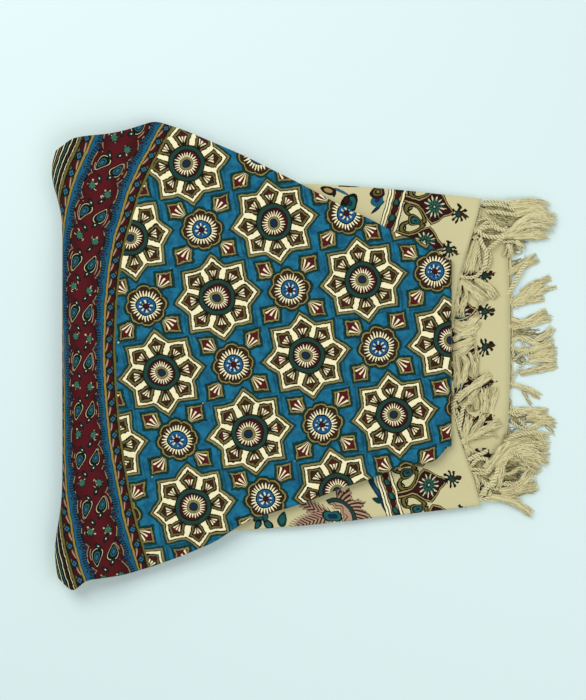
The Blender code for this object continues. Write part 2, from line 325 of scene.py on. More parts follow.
def crease_height(ply, x, y):
    """How far the creases lift a ply's outer layer at a point."""
    height = 0.0
    for crease in CREASES[ply]:
        along_x, along_y = crease.to_x - crease.x, crease.to_y - crease.y
        share = ((x - crease.x) * along_x + (y - crease.y) * along_y) / (along_x**2 + along_y**2)
        inside = min(1.0, max(0.0, share))
        away = math.hypot(x - crease.x - along_x * inside, y - crease.y - along_y * inside) / crease.width
        height += crease.height * math.exp(-away * away)
    return height


def guard_line(y):
    """Where the border's line runs on the print, at y, and how it slants there."""
    y = min(GUARD_END, max(-GUARD_END, y)) - GUARD_Y
    if y < 0:
        return GUARD_X + y * y * GUARD_BELOW, 2 * y * GUARD_BELOW
    return GUARD_X + GUARD_ABOVE * y**GUARD_POWER, GUARD_POWER * GUARD_ABOVE * y ** (GUARD_POWER - 1)


GUARD_STEPS = np.linspace(-800.0, 800.0, 1601)
GUARD_LENGTHS = np.cumsum([math.hypot(1.0, guard_line(y)[1]) for y in GUARD_STEPS])
GUARD_LENGTHS -= np.interp(GUARD_Y, GUARD_STEPS, GUARD_LENGTHS)


def place_cloth(path):
    """Where each point of the cloth lies, and its y on the print, in a row for each station."""
    spots, print_ys = [], []
    for place in path:
        row = []
        turn = math.radians(place.turn)
        creased = -LAYER_PITCH if place.ply == "lower" else LAYER_PITCH
        for y, offset, _ in section(place):
            shift = hem_shift(place, y)
            if place.ply in CREASES and offset == creased:
                reach = min(place.far - y, y - place.near)
                lift = crease_height(place.ply, place.x + shift, y) * blend(*CREASE_FADE, reach)
                offset += math.copysign(lift, offset)
            x = place.x + offset * math.cos(turn) + shift
            z = place.z + offset * math.sin(turn)
            if place.ply == "top":
                z -= sink(x, y)
            row.append(loosen(x, y, z))
        spots.append(row)
        print_ys.append([print_y for _, _, print_y in section(place)])
    return np.array(spots), np.array(print_ys)


def hem_slant(y):
    """How fast the first hem bows out at y, which turns the rows of the print beside it."""
    far, near = PLY_EDGES["middle"][-1][1:]
    y = np.clip(y, near + SLANT_REACH, far - SLANT_REACH)
    places = (2 * np.stack([y - SLANT_REACH, y + SLANT_REACH]) - far - near) / (far - near)
    bows = np.interp(places, *zip(*HEM_BOWS["middle"]))
    return (bows[1] - bows[0]) / (2 * SLANT_REACH)


def print_places(path, spots, print_ys):
    """Where the print's parts lie: its x on the field, along the border's line, and from the hem."""
    steps = np.hypot(np.diff(spots[:, :, 0], axis=0), np.diff(spots[:, :, 2], axis=0))
    lengths = np.vstack([np.zeros(spots.shape[1]), np.cumsum(steps, axis=0)])
    anchor = next(index for index, place in enumerate(path) if place.ply == "top")
    field_x = path[anchor].x - lengths + lengths[anchor]
    centre_line = path[anchor].x + math.pi * PLY_PITCH / 4
    line = np.vectorize(guard_line)(print_ys)
    square = 1 / np.hypot(1, line[1])
    from_line = (centre_line - abs(field_x - centre_line) - line[0]) * square
    along = np.interp(print_ys, GUARD_STEPS, GUARD_LENGTHS) + from_line * line[1]
    squeeze = SQUEEZE * np.exp(-(((print_ys - SQUEEZE_Y) / SQUEEZE_SPREAD) ** 2))
    from_line *= np.where(from_line < 0, 1 + squeeze, 1)
    second = lengths > lengths[-1] / 2
    from_hem = np.where(second, lengths[-1] - lengths - SECOND_MARGIN, lengths + HEM_SKEW * print_ys)
    row_along = np.where(second, print_ys - SECOND_PHASE, print_ys - from_hem * hem_slant(print_ys))
    return field_x, from_line, along, from_hem, row_along


def make_cloth():
    """The cloth is a grid, one row of points for each station, laid in its folds."""
    path = strip_path()
    spots, print_ys = place_cloth(path)
    field_x, from_line, along, from_hem, row_along = print_places(path, spots, print_ys)
    rows, columns = print_ys.shape
    bm = bmesh.new()
    bmesh.ops.create_grid(bm, x_segments=columns - 1, y_segments=rows - 1, size=0.5)
    field = bm.loops.layers.uv.new("field")
    border = bm.loops.layers.uv.new("border")
    hem = bm.loops.layers.uv.new("hem")
    rows_beside_hem = bm.loops.layers.uv.new("rows")
    cells = {}
    for vert in bm.verts:
        cell = (round((vert.co.y + 0.5) * (rows - 1)), round((vert.co.x + 0.5) * (columns - 1)))
        cells[vert] = cell
        vert.co = (Vector(spots[cell]) + Vector((SHIFT_X, SHIFT_Y, 0))) * MM
    for face in bm.faces:
        face.smooth = True
        for loop in face.loops:
            cell = cells[loop.vert]
            loop[field].uv = (field_x[cell], print_ys[cell])
            loop[border].uv = (from_line[cell], along[cell])
            loop[hem].uv = (from_hem[cell], print_ys[cell])
            loop[rows_beside_hem].uv = (from_hem[cell], row_along[cell])
    mesh = bpy.data.meshes.new("cloth_sheet")
    bm.to_mesh(mesh)
    bm.free()
    sheet = bpy.data.objects.new("cloth_sheet", mesh)
    bpy.context.collection.objects.link(sheet)
    solidify = sheet.modifiers.new("thickness", "SOLIDIFY")
    solidify.thickness = THICKNESS * MM
    solidify.offset = 0.0
    solidify.material_offset = 1
    return sheet


cloth = make_cloth()


def srgb(text):
    """A colour's hex value as linear red, green, blue and alpha."""
    values = [int(text[start:start + 2], 16) / 255 for start in (1, 3, 5)]
    return (*(v / 12.92 if v <= 0.04045 else ((v + 0.055) / 1.055) ** 2.4 for v in values), 1.0)


def add(tree, kind, *links, stops=(), **settings):
    """Adds a node, such as "Math ADD", with its settings, and links or values for its inputs in order."""
    kind, _, operation = kind.partition(" ")
    node = tree.nodes.new(kind if kind.startswith("Node") else "ShaderNode" + kind)
    if operation:
        node.operation = operation
    for name, value in settings.items():
        setattr(node, name, value)
    for socket, value in zip([socket for socket in node.inputs if socket.enabled], links):
        if isinstance(value, bpy.types.NodeSocket):
            tree.links.new(value, socket)
        elif value is not None:
            socket.default_value = value
    if stops:
        node.color_ramp.interpolation = "CONSTANT"
        node.color_ramp.elements.remove(node.color_ramp.elements[1])
        node.color_ramp.elements[0].color = stops[0][1]
        for position, colour in stops[1:]:
            node.color_ramp.elements.new(position).color = colour
    outputs = [socket for socket in node.outputs if socket.enabled]
    return outputs[0] if len(outputs) == 1 else outputs


# The whole print is one group of nodes, which both sides of the cloth use, and put adds a node to it. Its
# lengths are millimetres on the cloth. Wobble and patch are fine and broad noise, for uneven lines and inks
print_tree = bpy.data.node_groups.new("qalamkar_print", "ShaderNodeTree")
print_tree.interface.new_socket("Colour", in_out="OUTPUT", socket_type="NodeSocketColor")
put = partial(add, print_tree)

INKS = {
    "deep turquoise": "#155370",
    "turquoise": "#1e7290",
    "border blue": "#175876",
    "cream": "#f3eabd",
    "beige": "#cec697",
    "maroon": "#56141a",
    "wine": "#410f13",
    "brown": "#35200f",
    "cocoa": "#2b1412",
    "umber": "#6a5f33",
    "ochre": "#857a45",
    "tan": "#a48c58",
    "gold": "#93803f",
    "olive": "#67612f",
    "green": "#1e4036",
    "forest": "#0d3634",
    "sage": "#3c6c57",
    "black": "#15120b",
    "navy": "#142a45",
    "blue": "#1a5a84",
    "steel": "#2b6480",
    "teal": "#1d5c58",
    "rose": "#b08f78",
}
BARE = (0.0, 0.0, 0.0, 0.0)


def bands(ground, field, reach, rings):
    """Prints rings of ink: each row of rings is where an ink ends in the field, which counts up to reach."""
    scaled = put("Math MULTIPLY", field, 1 / reach, use_clamp=True)
    stops = []
    start = 0.0
    for end, ink in [*rings, (reach, None)]:
        stops.append((start / reach, srgb(INKS[ink]) if ink else BARE))
        start = end
    colour, cover = put("ValToRGB", scaled, stops=stops)
    return put("Mix", cover, ground, colour, data_type="RGBA")


def stamp(ground, field, size, ink, soft=0.35, strength=1.0):
    """Prints one ink where the field is under a size."""
    cover = put("Math MULTIPLY_ADD", field, -1 / soft, size / soft + 0.5, use_clamp=True)
    if strength < 1:
        cover = put("Math MULTIPLY", cover, strength)
    return put("Mix", cover, ground, srgb(INKS[ink]), data_type="RGBA")


def distance(value, middle):
    """How far a value lies from a middle, to either side."""
    return put("Math ABSOLUTE", put("Math SUBTRACT", value, middle))


def wave(angle, count):
    """A wave from -1 to 1, with so many tops in a full turn."""
    return put("Math COSINE", put("Math MULTIPLY", angle, float(count)))


def polar(x, y):
    """Radius and angle of a point."""
    radius = put("VectorMath LENGTH", put("CombineXYZ", x, y, 0.0))
    return radius, put("Math ARCTAN2", y, x)


def repeat(value, middle, pitch):
    """How far a value lies from the nearest of many middles a pitch apart."""
    moved = put("Math ADD", value, pitch / 2 - middle)
    wrapped = put("Math FLOORED_MODULO", moved, pitch)
    return put("Math SUBTRACT", wrapped, pitch / 2)


def petal_axes(radius, angle, count, first=0.0):
    """Coordinates along and across the nearest of a ring of petals."""
    folded = repeat(angle, first, 2 * math.pi / count)
    along = put("Math MULTIPLY", radius, put("Math COSINE", folded))
    side = put("Math MULTIPLY", radius, put("Math SINE", folded))
    return along, put("Math ABSOLUTE", side)


def kite(along, side, base, corner, tip, hollow):
    """How far a point lies outside a kite with hollow edges: base and corner are (along, side)."""
    bent = put("Math POWER", put("Math MULTIPLY", side, 1 / corner[1]), hollow)
    spot = put("CombineXYZ", along, bent, 1.0)
    inner = Vector((-(corner[1] - base[1]), corner[0] - base[0])).normalized()
    outer = Vector((corner[1], tip - corner[0])).normalized()
    edges = []
    for normal in (inner, outer):
        row = (normal.x, normal.y * corner[1], -(normal.x * corner[0] + normal.y * corner[1]))
        edges.append(put("VectorMath DOT_PRODUCT", spot, row))
    return put("Math MAXIMUM", *edges)


def sprays(along, side, start, end, spread, width):
    """How far a point lies outside three strokes that part from one root and widen towards their ends."""
    from_root = put("Math SUBTRACT", along, start)
    way = put("Math MULTIPLY", from_root, spread)
    near = put("Math MINIMUM", distance(side, way), side)
    widened = put("Math MULTIPLY_ADD", from_root, -width / (end - start), near)
    return put("Math MAXIMUM", widened, put("Math SUBTRACT", along, end))


def turned(x, y, middle, degrees, length=1.0, width=1.0):
    """A point's place from a middle, along and across a turned axis, as shares of a length and a width."""
    cos, sin = math.cos(math.radians(degrees)), math.sin(math.radians(degrees))
    spot = put("VectorMath SUBTRACT", put("CombineXYZ", x, y, 0.0), (*middle, 0.0))
    along = put("VectorMath DOT_PRODUCT", spot, (cos / length, sin / length, 0))
    return along, put("VectorMath DOT_PRODUCT", spot, (-sin / width, cos / width, 0))


def drop(x, y, middle, degrees, length, width, taper=0.55, bend=0.0):
    """A leaf or teardrop: 1 on its outline and less inside, with its tip at an angle."""
    along, across = turned(x, y, middle, degrees, length, width)
    if bend:
        across = put("Math MULTIPLY_ADD", put("Math MULTIPLY", along, along), bend, across)
    slim = put("Math MAXIMUM", put("Math MULTIPLY_ADD", along, -taper, 1.0), 0.2)
    across = put("Math DIVIDE", across, slim)
    return put("VectorMath LENGTH", put("CombineXYZ", along, across, 0.0))


# The field's blocks: two steps of the lattice, a star's place, and half the size of a block
LATTICE_ONE = Vector((79.6, 9.2))
LATTICE_TWO = Vector((-17.3, 74.1))
LATTICE_TURN = math.radians(9.2)
FIRST_STAR = Vector((-93.8, 65.7))
BLOCK_HALF = 39.0
BLOCK_JOG = 1.8


def lattice(place, first):
    """A point's x and y from the middle of its nearest block, and a chance value for that block."""
    one, two = LATTICE_ONE + LATTICE_TWO, LATTICE_ONE - LATTICE_TWO
    area = one.x * two.y - one.y * two.x
    from_first = put("VectorMath SUBTRACT", place, (first.x, first.y, 0.0))
    column = put("VectorMath DOT_PRODUCT", from_first, (two.y / area, -two.x / area, 0))
    row = put("VectorMath DOT_PRODUCT", from_first, (-one.y / area, one.x / area, 0))
    cell = put("CombineXYZ", column, row, 0.0)
    block = put("VectorMath FLOOR", put("VectorMath ADD", cell, (0.5, 0.5, 0.5)))
    inside = put("VectorMath SUBTRACT", cell, block)
    cos, sin = math.cos(LATTICE_TURN), math.sin(LATTICE_TURN)
    across = (one.x * cos + one.y * sin, two.x * cos + two.y * sin, 0)
    up = (one.y * cos - one.x * sin, two.y * cos - two.x * sin, 0)
    jog_x, jog_y, tone = put("SeparateXYZ", put("TexWhiteNoise", block, noise_dimensions="2D")[1])
    x = put("Math MULTIPLY_ADD", jog_x, BLOCK_JOG, put("VectorMath DOT_PRODUCT", inside, across))
    y = put("Math MULTIPLY_ADD", jog_y, BLOCK_JOG, put("VectorMath DOT_PRODUCT", inside, up))
    return x, y, tone


def eight_points(x, y):
    """Half the side of the eight-pointed star, two squares over each other, whose edge a point lies on."""
    wide, high = put("Math ABSOLUTE", x), put("Math ABSOLUTE", y)
    slanted = put("Math MULTIPLY", put("Math ADD", wide, high), math.sqrt(0.5))
    return put("Math MINIMUM", put("Math MAXIMUM", wide, high), slanted)


def print_star(ground, x, y, tone, wobble, patch):
    """The first block: a star with kite petals round a toothed wheel. Its inks don't quite meet."""
    radius, angle = polar(x, y)
    slip = put("Math MULTIPLY_ADD", tone, 2.4, -1.2)
    slipped_x = put("Math ADD", x, slip)
    slipped_y = put("Math MULTIPLY_ADD", slip, 0.6, y)
    line = put("Math MULTIPLY_ADD", wobble, 0.7, eight_points(x, y))
    colour = stamp(ground, line, 36.6, "forest", 0.6)
    colour = stamp(colour, put("Math ADD", eight_points(slipped_x, slipped_y), wobble), 32.4, "cream")
    colour = stamp(colour, distance(line, 33.4), 0.85, "ochre")
    colour = stamp(colour, distance(line, 31.9), 0.6, "black")
    along, side = petal_axes(radius, angle, 8)
    petal = put("Math ADD", kite(along, side, (18.5, 4.6), (31.4, 10.2), 40.6, 0.9), 12.0)
    petal = put("Math MULTIPLY_ADD", wobble, 1.2, petal)
    rows = [(7.0, "maroon"), (8.4, "brown"), (9.2, "black"), (10.9, "umber"), (12.1, "black")]
    colour = bands(colour, petal, 40, rows)
    dull = put("Math MULTIPLY_ADD", patch, 30.0, petal)
    colour = stamp(colour, put("Math MAXIMUM", dull, petal), 7.0, "brown")
    colour = stamp(colour, sprays(along, side, 22.0, 30.0, 0.45, 0.95), 0.0, "cream")
    colour = stamp(colour, put("Math MULTIPLY_ADD", along, 0.3, side), 8.0, "black", 0.6)
    colour = bands(colour, radius, 60, [(14.0, "wine"), (15.4, "black"), (19.0, "green"), (20.5, "black")])
    wheel, wheel_angle = polar(put("Math MULTIPLY_ADD", slip, 1.2, x), slipped_y)
    tooth = put("Math MULTIPLY_ADD", wave(wheel_angle, 24), -3.2, wheel)
    tooth = put("Math MULTIPLY_ADD", wobble, 2.0, tooth)
    colour = bands(colour, tooth, 60, [(9.6, "cream"), (10.3, "black")])
    return bands(colour, wheel, 60, [(3.6, "navy"), (4.5, "black"), (6.6, "ochre"), (7.2, "brown")])


def print_rosette(ground, x, y, wobble):
    """The second block: a scalloped rosette between four diamonds."""
    radius, angle = polar(x, y)
    along, side = petal_axes(radius, angle, 4, math.pi / 4)
    diamond = put("Math ADD", kite(along, side, (21.5, 1.8), (35.5, 11.4), 48.5, 0.82), 14.0)
    diamond = put("Math MULTIPLY_ADD", wobble, 1.2, diamond)
    rows = [(10.8, "maroon"), (11.8, "black"), (13.5, "ochre"), (14.3, "black"), (16.2, "forest")]
    colour = bands(ground, diamond, 40, rows)
    colour = stamp(colour, sprays(along, side, 23.5, 37.0, 0.42, 1.15), 0.0, "cream")
    lobes = put("Math POWER", put("Math ABSOLUTE", wave(angle, 4)), 0.6)
    edge = put("Math ADD", put("Math MULTIPLY_ADD", lobes, -3.2, radius), wobble)
    rows = [(16.6, "brown"), (17.5, "black"), (19.2, "ochre"), (20.1, "black"), (22.0, "forest")]
    colour = bands(colour, edge, 60, rows)
    tick = put("Math MULTIPLY_ADD", wave(angle, 28), -3.4, radius)
    tick = put("Math MULTIPLY_ADD", wobble, 3.0, tick)
    colour = bands(colour, tick, 60, [(13.4, "cream"), (14.2, "cocoa")])
    colour = bands(colour, radius, 60, [(9.6, "blue"), (10.8, "black")])
    spoke = put("Math MULTIPLY_ADD", wobble, -5.0, put("Math MULTIPLY", wave(angle, 8), -2.2))
    inside = put("Math SUBTRACT", radius, 8.6)
    colour = stamp(colour, put("Math MAXIMUM", spoke, inside), -1.4, "cream", 0.6, 0.85)
    dark = put("Math MULTIPLY", spoke, -1.0)
    colour = stamp(colour, put("Math MAXIMUM", dark, inside), -1.2, "navy", 0.8, 0.8)
    return bands(colour, radius, 60, [(2.4, "wine"), (3.5, "black")])


def print_field(place, wobble, patch):
    """The field: stars and rosettes that alternate on a turquoise ground, with flecks at the corners."""
    mottle = put("TexNoise", place, 0.09, 5.0, 0.65, noise_dimensions="2D", normalize=True)[0]
    mottle = put("Math MULTIPLY_ADD", mottle, 3.4, -1.2, use_clamp=True)
    deep, light = srgb(INKS["deep turquoise"]), srgb(INKS["turquoise"])
    ground = put("Mix", mottle, deep, light, data_type="RGBA")
    x, y, tone = lattice(place, FIRST_STAR)
    wide, high = put("Math ABSOLUTE", x), put("Math ABSOLUTE", y)
    seam = put("Math MULTIPLY_ADD", patch, 4.0, distance(put("Math MAXIMUM", wide, high), BLOCK_HALF))
    ground = stamp(ground, seam, 0.7, "forest", 1.2, 0.6)
    corner = put("Math SUBTRACT", BLOCK_HALF + 0.6, put("Math MINIMUM", wide, high))
    corner = put("Math MULTIPLY_ADD", tone, 3.0, corner)
    fleck = put("Math ADD", put("Math MAXIMUM", seam, corner), wobble)
    rosette_x, rosette_y, _ = lattice(place, FIRST_STAR + LATTICE_ONE)
    colour = print_rosette(ground, rosette_x, rosette_y, wobble)
    colour = stamp(colour, fleck, 1.2, "cream", 0.6)
    return print_star(colour, x, y, tone, wobble, patch)


# The border between the field and the ends, from its middle outwards, and its repeats along its line
BORDER_MIDDLE = -28.0
LOBE_PITCH, LOBE_FIRST, LOBE_RISE = 25.8, 8.0, 5.4
COLUMN = 9.6
CHAIN_PITCH, CHAIN_FIRST, CHAIN_MIDDLE = 17.7, 6.3, 35.7
COMB_PITCH = 2.7
BORDER_HALF = 43.6
BORDER_BANDS = [
    (28.0, "border blue"), (28.7, "black"), (31.0, "gold"), (31.8, "black"),
    (39.6, "brown"), (40.4, "black"), (42.6, "olive"), (BORDER_HALF, "black"),
]
STRIPES = [
    (0.7, "cream"), (3.0, "black"), (4.0, "brown"), (5.2, "black"), (5.9, "cream"), (7.9, "black"),
    (8.9, "teal"), (10.6, "black"), (11.3, "cream"), (13.2, "black"), (14.2, "umber"), (15.8, "black"),
    (16.5, "cream"), (18.6, "black"), (19.4, "teal"), (20.2, "black"),
]


def print_lobes(ground, out, edge, along, to_cusp, gap, patch):
    """The border's combs, the leaves at its cusps, and its maroon band with a broken line along the lobes."""
    comb = put("Math MULTIPLY", wave(along, 2 * math.pi / COMB_PITCH), -0.8)
    comb = put("Math MAXIMUM", comb, put("Math SUBTRACT", edge, 20.0))
    colour = stamp(ground, comb, 0.35, "black", 0.5, 0.85)
    leaf = drop(out, to_cusp, (19.5, 0), 15, 6.4, 4.2, 0.6)
    colour = bands(colour, leaf, 4, [(0.3, "wine"), (0.6, "navy"), (0.75, "steel"), (1.0, "black")])
    colour = bands(colour, edge, 60, [(13.3, "wine"), (15.4, "black")])
    colour = stamp(colour, put("Math MULTIPLY_ADD", patch, 16.0, edge), 7.0, "maroon", 9.0, 0.8)
    return stamp(colour, put("Math MAXIMUM", distance(edge, 14.3), gap), 0.45, "tan")


def print_figures(ground, out, edge, along, to_cusp, side, gap):
    """The flowers and paisleys that take turns along both sides of the maroon band."""
    flower_y = put("Math MULTIPLY_ADD", side, 1.5, repeat(along, LOBE_FIRST, 2 * LOBE_PITCH))
    radius, angle = polar(put("Math SUBTRACT", out, COLUMN), flower_y)
    colour = stamp(ground, radius, 5.2, "black", 3.0, 0.85)
    colour = stamp(colour, put("Math MULTIPLY_ADD", wave(angle, 8), -0.9, radius), 3.3, "sage", 0.7)
    halo = put("Math ABSOLUTE", put("Math MULTIPLY_ADD", gap, 1.2, distance(radius, 4.9)))
    halo = put("Math MULTIPLY_ADD", wave(angle, 5), -0.9, halo)
    colour = stamp(colour, halo, -0.35, "cream", 0.5, 0.7)
    colour = stamp(colour, radius, 0.9, "teal")

    paisley_y = repeat(along, LOBE_FIRST + LOBE_PITCH, 2 * LOBE_PITCH)
    beside = put("Math SUBTRACT", put("Math ABSOLUTE", paisley_y), 9.5)
    shell = put("Math MAXIMUM", distance(edge, 10.6), put("Math MAXIMUM", beside, gap))
    colour = stamp(colour, shell, 0.4, "rose")
    paisley_y = put("Math MULTIPLY", paisley_y, side)
    paisley = drop(out, paisley_y, (COLUMN, 0), 62, 10.0, 5.2, 0.55, -0.35)
    rows = [(0.22, "steel"), (0.4, "navy"), (0.55, "teal"), (0.86, "black"), (0.95, "beige"), (1.1, "black")]
    colour = bands(colour, paisley, 4, rows)
    link_y = put("Math MULTIPLY_ADD", side, -2.5, to_cusp)
    link = drop(out, link_y, (COLUMN - 4.5, 0), 50, 4.0, 2.1, 0.0)
    return bands(colour, link, 4, [(0.22, "cream"), (0.75, "forest"), (1.2, "black")])


def print_chain(ground, out, along):
    """The chain of leaves and small blooms on a vine, and the scalloped line beside it."""
    link = put("Math SUBTRACT", out, CHAIN_MIDDLE)
    vine = put("Math MULTIPLY_ADD", wave(along, 2 * math.pi / CHAIN_PITCH), 2.2, link)
    colour = stamp(ground, put("Math ABSOLUTE", vine), 1.3, "umber", 0.8, 0.8)
    leaf_y = repeat(along, CHAIN_FIRST + CHAIN_PITCH / 2, CHAIN_PITCH)
    oval = drop(link, leaf_y, (0, 0), 66, 6.4, 3.3, 0.0, 0.3)
    colour = bands(colour, oval, 4, [(0.72, "wine"), (1.0, "black")])
    colour = stamp(colour, drop(link, leaf_y, (-2.5, 0), 74, 4.6, 0.75, 0.0), 1.0, "rose", 0.3)
    bloom, bloom_angle = polar(link, repeat(along, CHAIN_FIRST, CHAIN_PITCH))
    bloom = put("Math MULTIPLY_ADD", wave(bloom_angle, 4), -0.4, bloom)
    colour = bands(colour, bloom, 20, [(0.9, "navy"), (2.5, "steel"), (3.9, "black")])
    bump = put("Math MULTIPLY_ADD", wave(along, 4 * math.pi / CHAIN_PITCH), 1.0, out)
    return stamp(colour, distance(bump, 42.4), 0.8, "olive")


def print_border(ground, across, along, wobble, patch):
    """The border: a maroon band with lobes, flowers and paisleys, then combs and a chain on each side."""
    from_middle = put("Math SUBTRACT", across, BORDER_MIDDLE)
    out = put("Math ABSOLUTE", from_middle)
    outside = put("Math SUBTRACT", BORDER_MIDDLE - BORDER_HALF, across)
    stripe = put("Math MAXIMUM", put("Math MULTIPLY_ADD", wobble, 0.5, outside), 0.01)
    colour = bands(srgb(INKS["beige"]), stripe, 40, STRIPES)
    colour = bands(colour, put("Math MULTIPLY_ADD", wobble, 0.7, out), 60, BORDER_BANDS)
    lobe = repeat(along, LOBE_FIRST, LOBE_PITCH)
    arch = put("Math POWER", wave(lobe, math.pi / LOBE_PITCH), 0.6)
    edge = put("Math MULTIPLY_ADD", arch, -LOBE_RISE, out)
    edge = put("Math MULTIPLY_ADD", wobble, 0.6, edge)
    to_cusp = repeat(along, LOBE_FIRST + LOBE_PITCH / 2, LOBE_PITCH)
    gap = put("TexNoise", put("CombineXYZ", from_middle, along, 0.0), 0.11, 1.0, noise_dimensions="2D")[0]
    gap = put("Math MULTIPLY_ADD", gap, 9.0, -4.1)
    colour = print_lobes(colour, out, edge, along, to_cusp, gap, patch)
    side = put("Math SIGN", from_middle)
    colour = print_figures(colour, out, edge, along, to_cusp, side, gap)
    colour = print_chain(colour, out, along)
    inside_field = put("Math SUBTRACT", across, BORDER_MIDDLE + BORDER_HALF - 0.9)
    in_field = put("Math MULTIPLY", inside_field, 2.5, use_clamp=True)
    return put("Mix", in_field, colour, ground, data_type="RGBA")


# The ends of the cloth: distances from the hem, and the repeats along it
LOZENGE_FROM_HEM, LOZENGE_PITCH, LOZENGE_FIRST = 49.5, 39.8, -128.0
SPRIG_FROM_HEM = 21.4
STEM_FROM_HEM, STEM_MIDDLE, STEM_HALF, STEM_LEAN_FROM = 108.5, -150.0, 90.0, -139.0
FLOWER_FROM_HEM, FLOWER_FIRST, FLOWER_PITCH = 160.9, -177.0, 220.0
BAND_FROM_HEM = 84.2
BAND_LEAF_FIRST, BAND_SPOT_FIRST, BAND_PITCH = -138.6, -130.5, 16.2
BAND_ROWS = [
    (1.1, "black"), (3.2, "cream"), (4.2, "black"), (12.2, "tan"), (13.2, "black"), (15.2, "cream"),
    (16.2, "black"), (18.2, "cream"), (19.2, "black"),
]

# The flower's two feathers: angle, middle, length and width
FEATHERS = [(150, (-19.0, 10.0), 19.0, 8.0), (196, (-23.0, -5.0), 23.0, 9.0)]
BARB_PITCH = 4.6


def print_stem(ground, from_hem, along, patch):
    """The dark stem that runs beside the striped band and leans away at its end."""
    lower = put("Math MAXIMUM", put("Math SUBTRACT", STEM_LEAN_FROM, along), 0.0)
    stem = distance(put("Math MULTIPLY_ADD", lower, 0.24, from_hem), STEM_FROM_HEM)
    past_end = put("Math SUBTRACT", distance(along, STEM_MIDDLE), STEM_HALF)
    stem = put("Math MAXIMUM", stem, past_end)
    colour = stamp(ground, stem, 3.3, "forest")
    colour = stamp(colour, stem, 1.9, "navy", 0.8)
    return stamp(colour, put("Math MULTIPLY_ADD", patch, 6.0, stem), 0.3, "blue", 0.8, 0.7)


def print_feather(ground, x, y, degrees, middle, length, width):
    """A leaf like a feather, with barbs that slant back from its rib."""
    down, over = turned(x, y, middle, degrees)
    chevron = put("Math MULTIPLY_ADD", put("Math ABSOLUTE", over), -1.1, down)
    barb = wave(chevron, 2 * math.pi / BARB_PITCH)
    feather = drop(x, y, middle, degrees, length, width, 0.15)
    feather = put("Math MULTIPLY_ADD", barb, -0.2, feather)
    colour = stamp(ground, feather, 1.0, "brown", 0.05)
    colour = stamp(colour, feather, 0.9, "rose", 0.05)
    line = put("Math MAXIMUM", put("Math MULTIPLY_ADD", feather, 6.0, -5.5), barb)
    return stamp(colour, line, -0.05, "brown", 0.6)


def print_flower(ground, from_hem, along, wobble):
    """The big flower of the ends: a heart under an arch, with a fan of rays on one side and feathers."""
    x = put("Math SUBTRACT", FLOWER_FROM_HEM, from_hem)
    y = repeat(along, FLOWER_FIRST, FLOWER_PITCH)
    radius, angle = polar(put("Math SUBTRACT", x, 6.5), y)
    ragged = put("Math MULTIPLY_ADD", wave(angle, 13), -3.0, radius)
    ragged = put("Math MULTIPLY_ADD", wobble, 6.0, ragged)
    turn = put("Math MULTIPLY_ADD", distance(angle, 0.45), 25.0, 7.0)
    fan = put("Math MAXIMUM", ragged, turn)
    colour = stamp(ground, fan, 32.0, "brown")
    colour = stamp(colour, fan, 30.8, "rose")
    swirl = put("Math MULTIPLY_ADD", radius, 0.02, angle)
    vein = put("Math MULTIPLY_ADD", wave(swirl, 34), -3.0, 30.4)
    colour = stamp(colour, put("Math MAXIMUM", vein, fan), 30.4, "brown", 0.5)
    for feather in FEATHERS:
        colour = print_feather(colour, x, y, *feather)

    inner, inner_angle = polar(x, y)
    lining = put("Math MAXIMUM", radius, put("Math MULTIPLY_ADD", turn, 0.45, -4.0))
    colour = stamp(colour, lining, 17.0, "rose")
    tooth = put("Math MULTIPLY_ADD", wave(inner_angle, 9), -1.6, inner)
    rows = [(7.4, "beige"), (8.8, "brown"), (11.2, "beige"), (12.4, "brown"), (14.6, "rose"), (15.8, "brown")]
    petals = bands(colour, tooth, 60, rows)
    within = put("Math MULTIPLY", put("Math SUBTRACT", 17.0, lining), 2.0, use_clamp=True)
    colour = put("Mix", within, colour, petals, data_type="RGBA")
    bow = put("Math MAXIMUM", distance(radius, 18.0), put("Math SUBTRACT", turn, 44.0))
    colour = stamp(colour, bow, 2.6, "black")
    colour = stamp(colour, bow, 1.7, "green", 0.8)
    heart = put("Math MULTIPLY_ADD", put("Math ABSOLUTE", x), -0.5, inner)
    return bands(colour, heart, 60, [(2.6, "navy"), (4.6, "teal"), (5.6, "black")])


